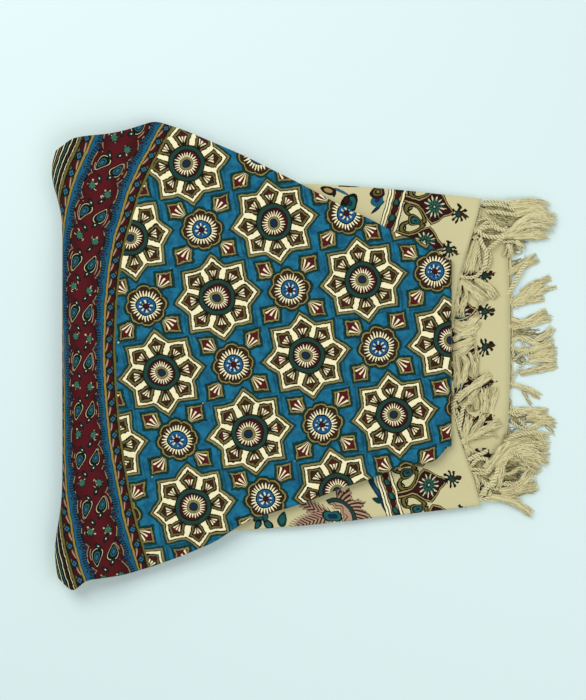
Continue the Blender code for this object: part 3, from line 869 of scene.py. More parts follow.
def print_lozenges(ground, x, y, wobble, patch):
    """A row of lozenges on necks that come out of the band, with curls and beads between them."""
    side = put("Math ABSOLUTE", y)
    rim = [(0.52, "beige"), (0.64, "black"), (0.86, "olive"), (1.0, "black")]
    colour = bands(ground, drop(x, side, (-19.5, 12.0), 26, 15.5, 7.8, 0.45), 6, rim)
    hook = drop(x, side, (-26.5, 10.5), 300, 4.2, 1.1, 0.0, 0.6)
    colour = stamp(colour, hook, 1.0, "black", 0.3)
    between = put("Math SUBTRACT", LOZENGE_PITCH / 2, side)
    rows = [(0.25, "navy"), (0.5, "teal"), (0.68, "black"), (0.86, "olive"), (1.0, "black")]
    colour = bands(colour, drop(x, between, (-17.5, 0), 0, 9.0, 5.8, 0.5), 6, rows)

    cut = put("Math MULTIPLY_ADD", put("Math ABSOLUTE", x), 0.86, side)
    ripple = put("Math MULTIPLY_ADD", wave(x, 0.5), 0.6, cut)
    past_root = put("Math SUBTRACT", -18.0, x)
    past_body = put("Math ADD", x, 28.0)
    neck = put("Math MAXIMUM", put("Math ADD", side, 15.6), put("Math MAXIMUM", past_root, past_body))
    lozenge = put("Math MULTIPLY_ADD", wobble, 0.5, put("Math MINIMUM", ripple, neck))
    colour = bands(colour, lozenge, 60, [(16.2, "cocoa"), (17.2, "black"), (18.6, "tan"), (19.8, "black")])
    red = put("Math MAXIMUM", put("Math MULTIPLY_ADD", patch, 22.0, lozenge), lozenge)
    colour = stamp(colour, red, 13.0, "wine", 1.5)

    radius, angle = polar(x, y)
    uneven = put("Math MULTIPLY_ADD", wobble, 2.4, radius)
    leaf = put("Math ADD", kite(*petal_axes(uneven, angle, 8, 0.35), (2.0, 0.6), (6.0, 1.3), 9.5, 1.0), 3.0)
    colour = bands(colour, leaf, 20, [(2.7, "forest"), (3.4, "sage"), (4.3, "black")])
    dash = drop(*petal_axes(uneven, angle, 13, 0.1), (9.2, 0), 0, 2.6, 0.6, 0.0)
    colour = stamp(colour, put("Math MULTIPLY_ADD", wobble, 0.9, dash), 1.0, "cream", 0.6, 0.8)
    return bands(colour, radius, 60, [(0.6, "cream"), (1.8, "teal"), (2.6, "black")])


def print_band(ground, from_hem, along, wobble):
    """The striped band beyond the lozenges, with leaves and spots in turn."""
    strip = put("Math SUBTRACT", from_hem, BAND_FROM_HEM)
    strip = put("Math MULTIPLY_ADD", wobble, 0.4, strip)
    band = bands(ground, strip, 60, BAND_ROWS)
    row = (BAND_FROM_HEM + 8.2, 0)
    leaf = drop(from_hem, repeat(along, BAND_LEAF_FIRST, BAND_PITCH), row, 80, 6.4, 3.5, 0.3)
    band = bands(band, leaf, 6, [(0.4, "teal"), (0.75, "green"), (1.1, "black")])
    spot = drop(from_hem, repeat(along, BAND_SPOT_FIRST, BAND_PITCH), row, 104, 4.6, 3.1, 0.0)
    band = bands(band, spot, 6, [(0.75, "wine"), (1.1, "black")])
    return put("Mix", put("Math GREATER_THAN", strip, 0.0), ground, band, data_type="RGBA")


def print_sprigs(ground, x, y, wobble, patch):
    """The sprigs between the lozenges and the hem: a ring of knobbed strokes round a green eye, and a bud."""
    radius, angle = polar(x, y)
    uneven = put("Math MULTIPLY_ADD", wobble, 2.6, radius)
    uneven = put("Math MULTIPLY_ADD", wave(angle, 3), -1.0, uneven)
    leaf_along, leaf_side = petal_axes(uneven, put("Math MULTIPLY_ADD", patch, 2.0, angle), 8, 0.2)
    from_end = put("Math SUBTRACT", leaf_along, 7.6)
    knob = put("VectorMath LENGTH", put("CombineXYZ", from_end, leaf_side, 0.0))
    knob = put("Math SUBTRACT", knob, 1.9)
    stroke = put("Math MAXIMUM", put("Math SUBTRACT", leaf_side, 1.05), from_end)
    colour = stamp(ground, put("Math MINIMUM", knob, stroke), 0.0, "black")
    colour = bands(colour, radius, 20, [(2.2, "green"), (3.4, "forest"), (4.0, "black")])
    bud = put("Math ADD", drop(x, y, (6.6, 0), 350, 5.4, 2.4, 0.0), wobble)
    return stamp(colour, bud, 0.9, "brown", 0.3)


# The bud and the leaves beyond the striped band, placed one by one: x, y, angle, length, width, taper and
# inks
Spray = namedtuple("Spray", "x y degrees length width taper rings")
SPRAY_ORIGIN = 193.1
SPRAYS = [
    Spray(82.0, 163.5, 233, 9.0, 2.2, 0.0, [(0.6, "navy"), (1.0, "forest")]),
    Spray(79.8, 171.8, 70, 7.5, 6.6, 0.3, [(0.4, "navy"), (0.7, "blue"), (1.0, "teal")]),
    Spray(78.3, 180.6, 80, 7.8, 8.4, 0.3, [(0.2, "ochre"), (0.45, "brown"), (0.6, "olive"), (1.0, "cocoa")]),
    Spray(38.0, 181.5, 155, 9.5, 1.6, 0.0, [(0.8, "steel"), (1.0, "navy")]),
    Spray(23.5, 183.2, 160, 9.6, 4.2, 0.2, [(0.5, "tan"), (0.7, "brown"), (1.0, "black")]),
    Spray(31.0, 179.3, 90, 3.6, 1.8, 0.0, [(1.0, "black")]),
    Spray(45.7, 187.5, 178, 13.0, 1.3, 0.0, [(1.0, "cocoa")]),
    Spray(50.7, 168.3, 310, 10.5, 8.6, 0.4, [(0.3, "forest"), (0.7, "teal"), (1.0, "black")]),
    Spray(45.5, 171.0, 285, 6.0, 3.6, 0.3, [(0.5, "wine"), (1.0, "black")]),
    Spray(-21.5, -180.4, 60, 9.0, 5.0, 0.4, [(0.6, "teal"), (1.0, "forest")]),
    Spray(-39.1, -185.3, 120, 7.0, 4.4, 0.4, [(0.6, "teal"), (1.0, "black")]),
    Spray(-47.0, -179.0, 205, 7.5, 3.6, 0.3, [(0.5, "steel"), (0.75, "teal"), (1.0, "black")]),
    Spray(-41.0, -177.0, 265, 6.5, 3.2, 0.3, [(0.5, "steel"), (0.75, "teal"), (1.0, "black")]),
    Spray(-50.0, -186.0, 230, 6.5, 3.0, 0.3, [(0.6, "teal"), (1.0, "black")]),
    Spray(84.0, -160.0, 150, 5.0, 3.4, 0.4, [(1.0, "forest")]),
]


def print_end(from_hem, along, row_along, wobble, patch):
    """The end of the cloth, from the field to the hem, on a beige ground."""
    colour = print_stem(srgb(INKS["beige"]), from_hem, along, patch)
    colour = print_flower(colour, from_hem, along, wobble)
    lozenge_y = repeat(row_along, LOZENGE_FIRST, LOZENGE_PITCH)
    lozenge_x = put("Math SUBTRACT", LOZENGE_FROM_HEM, from_hem)
    colour = print_lozenges(colour, lozenge_x, lozenge_y, wobble, patch)
    colour = print_band(colour, from_hem, along, wobble)
    sprig_x = put("Math SUBTRACT", SPRIG_FROM_HEM, from_hem)
    colour = print_sprigs(colour, sprig_x, lozenge_y, wobble, patch)
    x = put("Math SUBTRACT", SPRAY_ORIGIN, from_hem)
    for spray in SPRAYS:
        leaf = drop(x, along, (spray.x, spray.y), spray.degrees, spray.length, spray.width, spray.taper)
        colour = bands(colour, leaf, 8, spray.rings)
    return colour


def print_cloth():
    """The whole print: the field, the border over it, and the ends, all on slightly uneven coordinates."""
    field = put("UVMap", uv_map="field")
    push = (0.0, 0.0, 0.0)
    for scale, reach in ((0.03, 4.0), (0.11, 1.5)):
        drift = put("TexNoise", field, scale, 1.0, noise_dimensions="2D")[1]
        drift = put("VectorMath SUBTRACT", drift, (0.5, 0.5, 0.5))
        push = put("VectorMath MULTIPLY_ADD", drift, (reach, reach, 0.0), push)
    rough = put("TexNoise", field, 0.3, 1.0, noise_dimensions="2D")[0]
    wobble = put("Math MULTIPLY_ADD", rough, 1.6, -0.8)
    broad = put("TexNoise", field, 0.05, 1.0, noise_dimensions="2D")[0]
    patch = put("Math SUBTRACT", broad, 0.5)
    colour = print_field(put("VectorMath ADD", field, push), wobble, patch)
    border = put("VectorMath MULTIPLY_ADD", push, (0.6, 0.6, 0.0), put("UVMap", uv_map="border"))
    across, along, _ = put("SeparateXYZ", border)
    colour = print_border(colour, across, along, wobble, patch)
    from_hem, hem_along, _ = put("SeparateXYZ", put("VectorMath ADD", put("UVMap", uv_map="hem"), push))
    row_along = put("SeparateXYZ", put("VectorMath ADD", put("UVMap", uv_map="rows"), push))[1]
    end = print_end(from_hem, hem_along, row_along, wobble, patch)
    end_start = BORDER_MIDDLE - BORDER_HALF - STRIPES[-1][0]
    at_end = put("Math MULTIPLY", put("Math SUBTRACT", end_start, across), 2.0, use_clamp=True)
    put("NodeGroupOutput", put("Mix", at_end, colour, end, data_type="RGBA"))


# Real threads are about 0.5 mm apart, too fine to show, so they are drawn coarser. Slubs are thick stretches
# of yarn, long one way
THREAD_PITCH = 1.3
SLUB_SCALE = (1.1, 0.09, 0.0)


def cotton_shader(name, sheen):
    """A new material for matt cotton with a faint sheen, its nodes, and its shader."""
    material = bpy.data.materials.new(name)
    material.use_nodes = True
    shader = material.node_tree.nodes["Principled BSDF"]
    shader.inputs["Roughness"].default_value = 0.9
    shader.inputs["Specular IOR Level"].default_value = 0.12
    shader.inputs["Sheen Weight"].default_value = sheen
    shader.inputs["Sheen Roughness"].default_value = 0.5
    return material, material.node_tree, shader


def printed_cotton(name, fade):
    """Matt plain-woven cotton, block printed, whose fine threads and slubs catch a little light."""
    material, tree, shader = cotton_shader(name, 0.03)
    colour = add(tree, "Group", node_tree=print_tree)
    if fade:
        colour = add(tree, "Mix", fade, colour, srgb(INKS["beige"]), data_type="RGBA")
    tree.links.new(colour, shader.inputs["Base Color"])
    place = add(tree, "UVMap", uv_map="field")
    slub = add(tree, "VectorMath MULTIPLY", place, SLUB_SCALE)
    slub = add(tree, "TexNoise", slub, 1.0, 2.0, noise_dimensions="2D")[0]
    turns = 2 * math.pi / THREAD_PITCH
    threads = add(tree, "VectorMath COSINE", add(tree, "VectorMath MULTIPLY", place, (turns, turns, 0.0)))
    weave = add(tree, "VectorMath DOT_PRODUCT", threads, (1.0, 1.0, 0.0))
    height = add(tree, "Math MULTIPLY_ADD", weave, 0.1, slub)
    tree.links.new(add(tree, "Bump", 0.35, 0.0004, None, height), shader.inputs["Normal"])
    return material


# The dyes show through to the reverse, paler
print_cloth()
cloth.data.materials.append(printed_cotton("block_printed_cotton", 0.0))
cloth.data.materials.append(printed_cotton("cotton_reverse", 0.62))
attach(cloth, "root")
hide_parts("cloth")

# The fringes: at each hem the warp is drawn together into knots, twisted into two-ply cords that cross to
# their neighbours, and left loose as flat brushes. Each route is given as x and y in the cloth's
# millimetres, with its height at its middle. Real yarns are too fine to show: one here stands for several.
YARN = 0.56
YARN_SHARE = 1.35
WAVE_LENGTH = (11.0, 24.0)
WAVE_SIZE = (0.2, 1.2)
POINT_SPACING = 3.1
TURN_LENGTH = 7.4
TURN_POINTS = 6
BRUSH_DEPTH = 2.6
GATHER_YARNS = 50
# Which copy of the yarn colour a yarn gets: the lit one, or a darker one as painted half shade or painted
# shade
LIT_TONE, HALF_SHADED_TONE, SHADED_TONE = range(3)
OBJECT_PLACE = 3

Brush = namedtuple("Brush", "yarns start_width end_width lift route")
Cord = namedtuple("Cord", "radius lift route")
Knot = namedtuple("Knot", "x y lift radius heading")

UPPER_BRUSHES = [
    Brush(14, 3, 7, 1.0, [(221, 170.5), (237, 171), (248, 171.5), (257, 173)]),
    Brush(34, 9, 19, 2.0, [(228, 166), (241, 167), (255, 166.5), (270, 161)]),
    Brush(32, 8, 16, 2.5, [(233, 156), (248, 160), (263, 157), (277, 149)]),
    Brush(30, 6, 18, 1.5, [(222, 132), (239, 135), (256, 137.5), (273, 138.5)]),
    Brush(12, 3, 7, 0.8, [(232, 130), (246, 131), (260, 131), (268, 132)]),
    Brush(36, 7, 18, 4.5, [(218, 132), (231, 138), (244, 146), (260, 148), (279, 143)]),
    Brush(16, 4, 7, 6.0, [(225, 134), (233, 143), (242, 150.5), (253, 155), (263, 153), (272, 146)]),
    Brush(12, 4, 9, 1.2, [(234, 127.5), (239, 122), (244, 116.5)]),
    Brush(10, 4, 8, 0.8, [(226, 124), (229, 116.5), (231, 109)]),
    Brush(26, 7, 11, 1.2, [(191, 128), (188, 116), (185.5, 104), (182, 91)]),
    Brush(20, 5, 8, 1.0, [(188, 127), (184, 115), (180, 103), (177, 92)]),
    Brush(26, 5, 13, 2.4, [(189, 85), (199, 79), (207, 71.5), (213.5, 62.5)]),
    Brush(30, 6, 14, 2.8, [(174, 85), (183, 77), (192.5, 69), (203.5, 59.5)]),
    Brush(16, 5, 8, 1.6, [(173, 83.5), (170.5, 71.5), (168, 58), (168, 43)]),
    Brush(12, 4, 6, 2.2, [(178, 80), (179.5, 68), (175, 55), (175, 42)]),
    Brush(24, 7, 9, 2.6, [(166, 37.5), (176, 34), (186, 38.5), (193.5, 47)]),
    Brush(22, 7, 8, 2.0, [(166, 31), (176, 27), (187, 30.5), (195, 39)]),
    Brush(22, 6, 8, 2.6, [(165, 18), (175, 23), (184, 25), (190, 19)]),
    Brush(22, 7, 8, 3.0, [(164, 9), (175, 13), (184, 17), (190, 20)]),
    Brush(20, 7, 7, 2.4, [(165, 1), (175, 4.5), (182.5, 10), (188, 15)]),
    Brush(20, 6, 9, 1.8, [(167, 4), (168.5, -10), (169.5, -24), (166, -41)]),
    Brush(20, 6, 7, 2.6, [(175, 2), (179.5, -8), (177, -21), (171.5, -35)]),
    Brush(10, 3, 7, 1.4, [(182.5, 4), (187, -7), (189, -17), (187, -26)]),
    Brush(6, 2, 5, 0.8, [(189, 15), (191.5, 1), (191.5, -11), (193.5, -21)]),
    Brush(18, 9, 6, 1.4, [(182.5, -53), (185, -44), (190, -38.5), (193.5, -33)]),
    Brush(14, 5, 8, 1.6, [(191.5, -59), (190, -48), (187, -40.5)]),
    Brush(38, 13, 22, 2.0, [(202, -63), (203.5, -53), (204.5, -43), (206, -33)]),
    Brush(30, 6, 9, 4.2, [(169.5, -49.5), (180.5, -38.5), (193.5, -29.5), (208, -20)]),
    Brush(20, 6, 11, 1.8, [(178, -90), (180.5, -78), (183.5, -64)]),
    Brush(14, 5, 8, 2.0, [(183.5, -89), (191, -78), (198, -68), (202, -60.5)]),
    Brush(10, 4, 5, 1.6, [(180.5, -93.5), (193.5, -89), (207, -86), (215.5, -90)]),
    Brush(28, 5, 9, 4.0, [(178, -93.5), (191.5, -86), (204.5, -79), (219, -72.5)]),
    Brush(14, 5, 8, 1.4, [(177, -95), (181.5, -103.5), (187, -112)]),
    Brush(22, 6, 11, 1.5, [(229, -116.5), (242, -116.5), (253, -121), (259.5, -128.5)]),
    Brush(26, 6, 12, 2.4, [(219, -116.5), (231, -110), (245, -109), (259.5, -113), (269.5, -119)]),
    Brush(36, 9, 15, 3.6, [(210, -121), (221, -110), (233, -102), (248.5, -100), (265, -104.5)]),
    Brush(
        36, 8, 12, 4.8,
        [(201.5, -127.5), (210, -116.5), (219, -104.5), (229, -97), (242, -92.5), (257, -94.5)],
    ),
    Brush(26, 6, 10, 2.4, [(216, -148.5), (230, -146), (242, -137.5), (252, -125)]),
    Brush(20, 7, 9, 5.5, [(218, -116), (217.5, -128), (215, -140), (213, -150)]),
    Brush(30, 6, 16, 1.8, [(218, -151), (233, -148.5), (246, -144), (259.5, -141)]),
    Brush(14, 5, 8, 0.8, [(200, -158), (215.5, -157), (229, -156), (240, -155)]),
    Brush(14, 5, 7, 0.8, [(188, -131), (190.5, -141), (193, -152)]),
    Brush(26, 6, 10, 1.8, [(204.5, -155), (221, -158), (237.5, -164), (253, -176)]),
]
# Brushes laid low, all in the darker yarn copies: painted shade for the dark gaps and pockets between locks
UPPER_SHADED = [
    Brush(16, 8, 10, 5.0, [(219, -128), (226, -132), (236, -135)]),
    Brush(10, 5, 5, 6.5, [(227, -116), (233, -119), (240, -117)]),
    Brush(10, 4, 6, 6.5, [(222, -88), (227, -92), (226, -98)]),
    Brush(10, 5, 6, 3.0, [(206, -122), (212, -124), (216, -121)]),
    Brush(12, 5, 6, 1.5, [(196, -129), (202, -133), (206, -137)]),
    Brush(16, 12, 16, 0.5, [(224, 162), (236, 160), (249, 158)]),
    Brush(16, 12, 14, 0.5, [(228, 143), (240, 146), (254, 147)]),
    Brush(8, 5, 5, 0.0, [(203, 164.5), (211, 164), (221, 163)]),
    Brush(20, 9, 13, 0.0, [(206, 155), (217, 150), (229, 146), (241, 146)]),
    Brush(20, 9, 14, 0.0, [(226, 150), (238, 152), (250, 154)]),
    Brush(8, 4, 4, 0.0, [(203, 137), (212, 137), (223, 137)]),
    Brush(10, 4, 5, 0.0, [(222, 128), (235, 128), (249, 126.5)]),
    Brush(8, 8, 8, 0.0, [(227, 124), (227.5, 118), (227, 112)]),
    Brush(8, 6, 4, 0.0, [(201, 130), (204, 124), (207, 118)]),
    Brush(24, 9, 15, 0.0, [(189, 126), (186, 112), (182, 94)]),
    Brush(8, 6, 5, 0.0, [(182, 84), (188, 78), (194, 73)]),
    Brush(8, 6, 6, 0.0, [(172, 80), (170, 64), (171, 45)]),
    Brush(10, 8, 8, 0.0, [(170, 0), (172, -18), (170, -36)]),
    Brush(10, 9, 8, 0.0, [(187, -62), (188, -52), (189, -42)]),
    Brush(14, 9, 10, 0.0, [(190, -113), (196, -122), (203, -130)]),
    Brush(18, 14, 12, 0.0, [(216, -137), (228, -134), (240, -131)]),
    Brush(10, 7, 8, 0.0, [(205, -148), (216, -151), (228, -152)]),
    Brush(12, 7, 7, 0.0, [(222, -120), (232, -118), (242, -121)]),
]
UPPER_CORDS = [
    Cord(1.9, 1.6, [(199, 171.5), (213.5, 171), (224.5, 169), (233, 164)]),
    Cord(1.9, 2.2, [(198, 167), (211, 167.5), (223, 165), (233, 161)]),
    Cord(2.4, 2.6, [(201, 159.5), (212, 159), (223, 157.5), (234, 156)]),
    Cord(1.9, 1.2, [(187, 147), (194, 150.5), (201, 152), (207, 150)]),
    Cord(2.0, 2.0, [(190, 139.5), (197, 144), (202.5, 148), (208, 146)]),
    Cord(2.2, 2.4, [(207, 147.5), (212.5, 144), (219, 139), (226.5, 139.5)]),
    Cord(2.4, 3.0, [(192.5, 137.5), (200, 142), (208, 143), (215.5, 139.5), (224.5, 141)]),
    Cord(2.7, 3.6, [(191.5, 138.5), (197, 134), (205.5, 131.5), (215.5, 131.5), (224.5, 134)]),
    Cord(1.8, 1.2, [(193.5, 127.5), (193.5, 116.5), (194.5, 105.5), (197, 93.5)]),
    Cord(2.9, 3.6, [(194.5, 131), (197, 123), (201, 115.5), (201, 106.5), (198, 94.5)]),
    Cord(2.3, 4.2, [(200, 115.5), (207, 121), (214.5, 127), (221, 131)]),
    Cord(1.9, 1.8, [(203.5, 117.5), (206, 110), (204.5, 102), (200, 94.5)]),
    Cord(1.7, 1.6, [(214.5, 126.5), (223, 126), (231, 126.5), (236.5, 124)]),
    Cord(1.4, 1.0, [(224.5, 124), (224, 117.5), (220, 110)]),
    Cord(1.4, 1.2, [(229, 123), (228, 116.5), (225.5, 109)]),
    Cord(2.2, 2.4, [(168, 92.5), (175, 87.5), (183.5, 86.5), (190, 88), (197, 93.5)]),
    Cord(0.7, 1.0, [(193.5, 60.5), (190, 51.5), (183.5, 44.5), (175, 40.5), (166, 40)]),
    Cord(2.6, 3.0, [(175, -38.5), (168, -46), (164, -57), (166, -67)]),
    Cord(2.4, 2.6, [(183.5, -49.5), (176, -57), (174, -68), (171.5, -81.5)]),
    Cord(2.2, 2.2, [(163, -48.5), (165, -60.5), (168, -71.5), (173, -82.5)]),
    Cord(2.0, 1.6, [(168, -59.5), (171.5, -67), (169.5, -77)]),
    Cord(2.7, 2.8, [(181.5, -115.5), (187, -111.5), (194.5, -108.5), (202.5, -105)]),
    Cord(2.4, 2.6, [(186, -121), (190, -115), (198, -113), (203.5, -117.5), (199, -123)]),
    Cord(1.9, 2.2, [(181.5, -126), (190, -125), (199, -126.5), (207, -124.5)]),
    Cord(2.0, 1.8, [(182.5, -130.5), (191.5, -129.5), (200, -130), (207, -126.5)]),
    Cord(2.0, 1.8, [(196, -137.5), (201, -142), (208, -146), (214.5, -147.5)]),
    Cord(2.9, 3.8, [(214.5, -123), (212, -132), (207, -141), (200, -147.5), (195, -155)]),
    Cord(2.2, 2.0, [(193.5, -158.5), (200, -158), (205.5, -153), (204.5, -148.5)]),
    Cord(1.7, 2.0, [(218, -128.5), (223, -131), (230, -128), (236.5, -124)]),
    Cord(1.7, 2.0, [(216.5, -142), (224.5, -139.5), (232, -141), (238.5, -138.5)]),
    Cord(1.8, 3.0, [(219, -125.5), (223, -117.5), (225.5, -111)]),
    Cord(1.9, 8.5, [(222, -94.5), (230, -89.5), (241, -86), (254, -85), (264, -88)]),
    Cord(1.6, 8.0, [(218, -130), (226, -130), (233, -127), (238, -122)]),
    Cord(1.7, 7.0, [(215, -141), (223, -142), (231, -142), (237, -140.5)]),
    Cord(1.9, 6.0, [(196, -137), (202, -141), (209, -143), (213, -139)]),
    Cord(1.7, 6.5, [(224, -104), (233, -108), (241, -113), (246, -120)]),
    Cord(1.5, 7.5, [(232, -96), (238, -92), (246, -91), (253, -95)]),
]
UPPER_KNOTS = [
    Knot(189, 139, 0.6, 2.8, -40),
    Knot(190, 131, 0.8, 2.3, 30),
    Knot(172, 89, 0.6, 2.8, 0),
    Knot(163, 33, 0.4, 2.6, 20),
    Knot(161, -8, 0.4, 2.6, -30),
    Knot(167, -55, 0.4, 2.6, 30),
    Knot(176.5, -94.5, 0.6, 2.9, -60),
    Knot(183, -124, 0.6, 2.6, 10),
    Knot(194, -158, 0.3, 2.4, 30),
    Knot(222, 133, 2.0, 2.4, 20),
    Knot(202, -121, 1.6, 2.6, 40),
    Knot(203, -143, 2.6, 2.8, 20),
    Knot(199, -151, 2.4, 2.8, 70),
    Knot(208, -135, 2.8, 2.4, 40),
]
# Stretches of the hem, from 1 at its far end to -1 at its near one, and the number of the knot each runs to
UPPER_GATHERS = [
    (0.98, 0.72, 0), (0.70, 0.45, 2), (0.43, 0.18, 3), (0.16, -0.1, 4),
    (-0.12, -0.35, 5), (-0.37, -0.58, 6), (-0.6, -0.78, 7), (-0.8, -0.98, 8),
]

LOWER_BRUSHES = [
    Brush(24, 6, 12, 2.0, [(225.5, 92.5), (236.5, 97), (247.5, 103.5), (259.5, 110)]),
    Brush(16, 4, 8, 1.4, [(240, 71.5), (251, 78), (263, 82.5), (274, 87)]),
    Brush(34, 8, 15, 2.6, [(231, 58.5), (242, 65), (255, 71.5), (270.5, 79)]),
    Brush(28, 6, 14, 1.8, [(232, 56), (245, 61.5), (256, 65), (267, 66)]),
    Brush(9, 3, 6, 0.6, [(265, 75), (273, 75), (280.5, 76)]),
    Brush(26, 7, 8, 1.8, [(229, 39.5), (240, 36.5), (252, 39.5), (263, 47), (269.5, 50.5)]),
    Brush(22, 5, 9, 1.6, [(230, 31), (243, 34), (257, 37.5), (269, 41.5), (275, 39.5)]),
    Brush(16, 4, 7, 2.2, [(229, 12), (237.5, 6.5), (249.5, 6.5), (262, 10), (277, 14.5)]),
    Brush(18, 4, 7, 3.0, [(230, 16.5), (240, 21), (252, 15.5), (265, 12), (277, 20)]),
    Brush(20, 4, 9, 2.6, [(253, 15.5), (265, 22), (273, 27.5), (277, 32)]),
    Brush(26, 5, 12, 2.4, [(252, -2), (260.5, 4.5), (271.5, 6.5), (281, 6.5)]),
    Brush(26, 5, 12, 2.0, [(249.5, -6.5), (260.5, -3.5), (271.5, -2), (281, -2)]),
    Brush(24, 5, 10, 1.6, [(240, -20), (252, -16.5), (266, -13), (281, -9)]),
    Brush(18, 4, 8, 1.6, [(230, -31), (240, -34), (251, -38.5), (263, -46)]),
    Brush(7, 3, 4, 0.8, [(243, -39.5), (248.5, -48.5), (253, -57)]),
    Brush(28, 6, 11, 2.2, [(227.5, -60.5), (241, -60.5), (256, -61.5), (271.5, -62.5)]),
    Brush(26, 6, 12, 1.8, [(246.5, -69), (257.5, -69.5), (267, -70.5), (279, -75)]),
    Brush(16, 4, 7, 2.0, [(248.5, -82.5), (257.5, -76), (268.5, -73.5), (280, -78)]),
    Brush(6, 2, 4, 0.5, [(268.5, -78), (274, -82.5), (278, -89)]),
    Brush(28, 5, 11, 2.4, [(223, -93.5), (235.5, -87), (251, -86), (265, -89), (273, -91)]),
    Brush(24, 6, 14, 1.2, [(248.5, -92.5), (259.5, -98), (273, -102)]),
    Brush(24, 8, 14, 0.6, [(246.5, -109), (259.5, -111), (273, -113)]),
    Brush(20, 8, 12, 0.5, [(237.5, -123), (251, -125.5), (263, -127.5)]),
    Brush(22, 8, 14, 0.6, [(220, -150), (235.5, -150), (248.5, -146.5), (259.5, -144)]),
]
# Brushes laid low, all in the darker yarn copies: painted shade for the dark gaps and pockets between locks
LOWER_SHADED = [
    Brush(26, 14, 17, 0.0, [(225, -128), (238, -127), (251, -124)]),
    Brush(20, 12, 14, 0.0, [(226, 146), (238, 148), (250, 150)]),
    Brush(12, 8, 14, 0.0, [(227, 121), (236, 118), (246, 117)]),
    Brush(10, 6, 9, 0.0, [(226, 101), (237, 103), (248, 108)]),
    Brush(24, 11, 17, 0.0, [(229, 24), (243, 24), (259.5, 22), (272, 25)]),
    Brush(8, 5, 5, 0.0, [(230, 12), (232, 4), (234, -3)]),
    Brush(10, 7, 8, 0.0, [(233, 0), (242, -5), (250, -10)]),
    Brush(18, 11, 12, 0.0, [(229, -68), (241, -72), (253, -71)]),
    Brush(10, 9, 6, 0.0, [(223, -89), (231, -84), (239, -82)]),
    Brush(16, 12, 12, 0.0, [(222, -136), (232, -134), (242, -131)]),
]
LOWER_CORDS = [
    Cord(2.8, 2.6, [(225.5, 67.5), (231, 77), (236.5, 88), (242, 97), (247.5, 103.5)]),
    Cord(2.4, 1.2, [(227.5, 64), (229, 57), (234.5, 55), (240, 60.5)]),
    Cord(1.7, 2.8, [(230, 31), (237.5, 33), (245, 34.5), (253, 36)]),
    Cord(1.7, 2.6, [(232, -5.5), (237.5, 0), (245, 3.5), (252, -1)]),
    Cord(1.7, 2.4, [(230, 14), (231, 6.5), (233, -1)]),
    Cord(1.5, 3.0, [(241, 17.5), (245, 9), (253, 4.5), (257.5, 11)]),
    Cord(1.5, 1.6, [(229, -31), (232, -23), (237.5, -15.5), (244, -7.5)]),
    Cord(1.9, 2.6, [(227.5, -56), (234.5, -60.5), (241, -62), (246.5, -59.5)]),
    Cord(1.8, 2.4, [(229, -64), (236.5, -66), (243, -62.5)]),
    Cord(1.8, 2.2, [(229, -71.5), (236.5, -77.5), (246.5, -82.5), (256, -81.5)]),
    Cord(1.7, 2.0, [(237.5, -69.5), (243, -76), (247.5, -81.5)]),
    Cord(1.7, 2.4, [(222, -98), (229, -93.5), (237.5, -87), (244, -84.5)]),
]
LOWER_KNOTS = [
    Knot(229, 92, 0.3, 2.4, 40),
    Knot(229, 62, 0.3, 2.6, 30),
    Knot(230, 33, 0.3, 2.4, 10),
    Knot(252, 0, 0.8, 2.4, 60),
    Knot(230, -31, 0.3, 2.2, -20),
    Knot(229, -62, 0.3, 2.4, 0),
    Knot(225, -94, 0.3, 2.4, 0),
    Knot(222, -150, 0.3, 2.4, 30),
]
LOWER_GATHERS = [
    (0.9, 0.62, 0), (0.6, 0.38, 1), (0.36, 0.06, 2), (0.02, -0.26, 4),
    (-0.28, -0.44, 5), (-0.46, -0.76, 6), (-0.78, -0.97, 7),
]


def smooth_route(route, spacing):
    """Points along a smooth curve through a route, about evenly spaced, and the way across at each."""
    points = [np.array([*point, 0.0][:3]) for point in route]
    points = [2 * points[0] - points[1], *points, 2 * points[-1] - points[-2]]
    smooth = []
    for before, start, end, after in zip(points, points[1:], points[2:], points[3:]):
        count = max(2, round(float(np.linalg.norm(end - start)) / spacing))
        for step in range(count):
            t = step / count
            bend = (2 * before - 5 * start + 4 * end - after) * t**2
            bend += (3 * start - before - 3 * end + after) * t**3
            smooth.append(start + (end - before) * t / 2 + bend / 2)
    smooth.append(points[-2])
    ways = np.gradient(np.array(smooth), axis=0)
    across = np.stack([-ways[:, 1], ways[:, 0], np.zeros(len(smooth))], axis=1)
    return np.array(smooth), across / np.linalg.norm(across, axis=1, keepdims=True)


def draw_yarn(curve, points, thickness, blunt, rest, tone):
    """Adds one yarn to the curve, over what it lies on. It thins at its far end unless it is blunt."""
    spline = curve.splines.new("POLY")
    spline.material_index = tone
    spline.points.add(len(points) - 1)
    for step, (spot, (x, y, lift)) in enumerate(zip(spline.points, points)):
        left = 1.0 if blunt else min(1.0, 0.35 + 0.3 * (len(points) - 1 - step))
        height = max(lift, 0.0) + rest(x) + thickness
        spot.co = (*(Vector(loosen(x, y, height)) * MM), 1.0)
        spot.radius = thickness * left


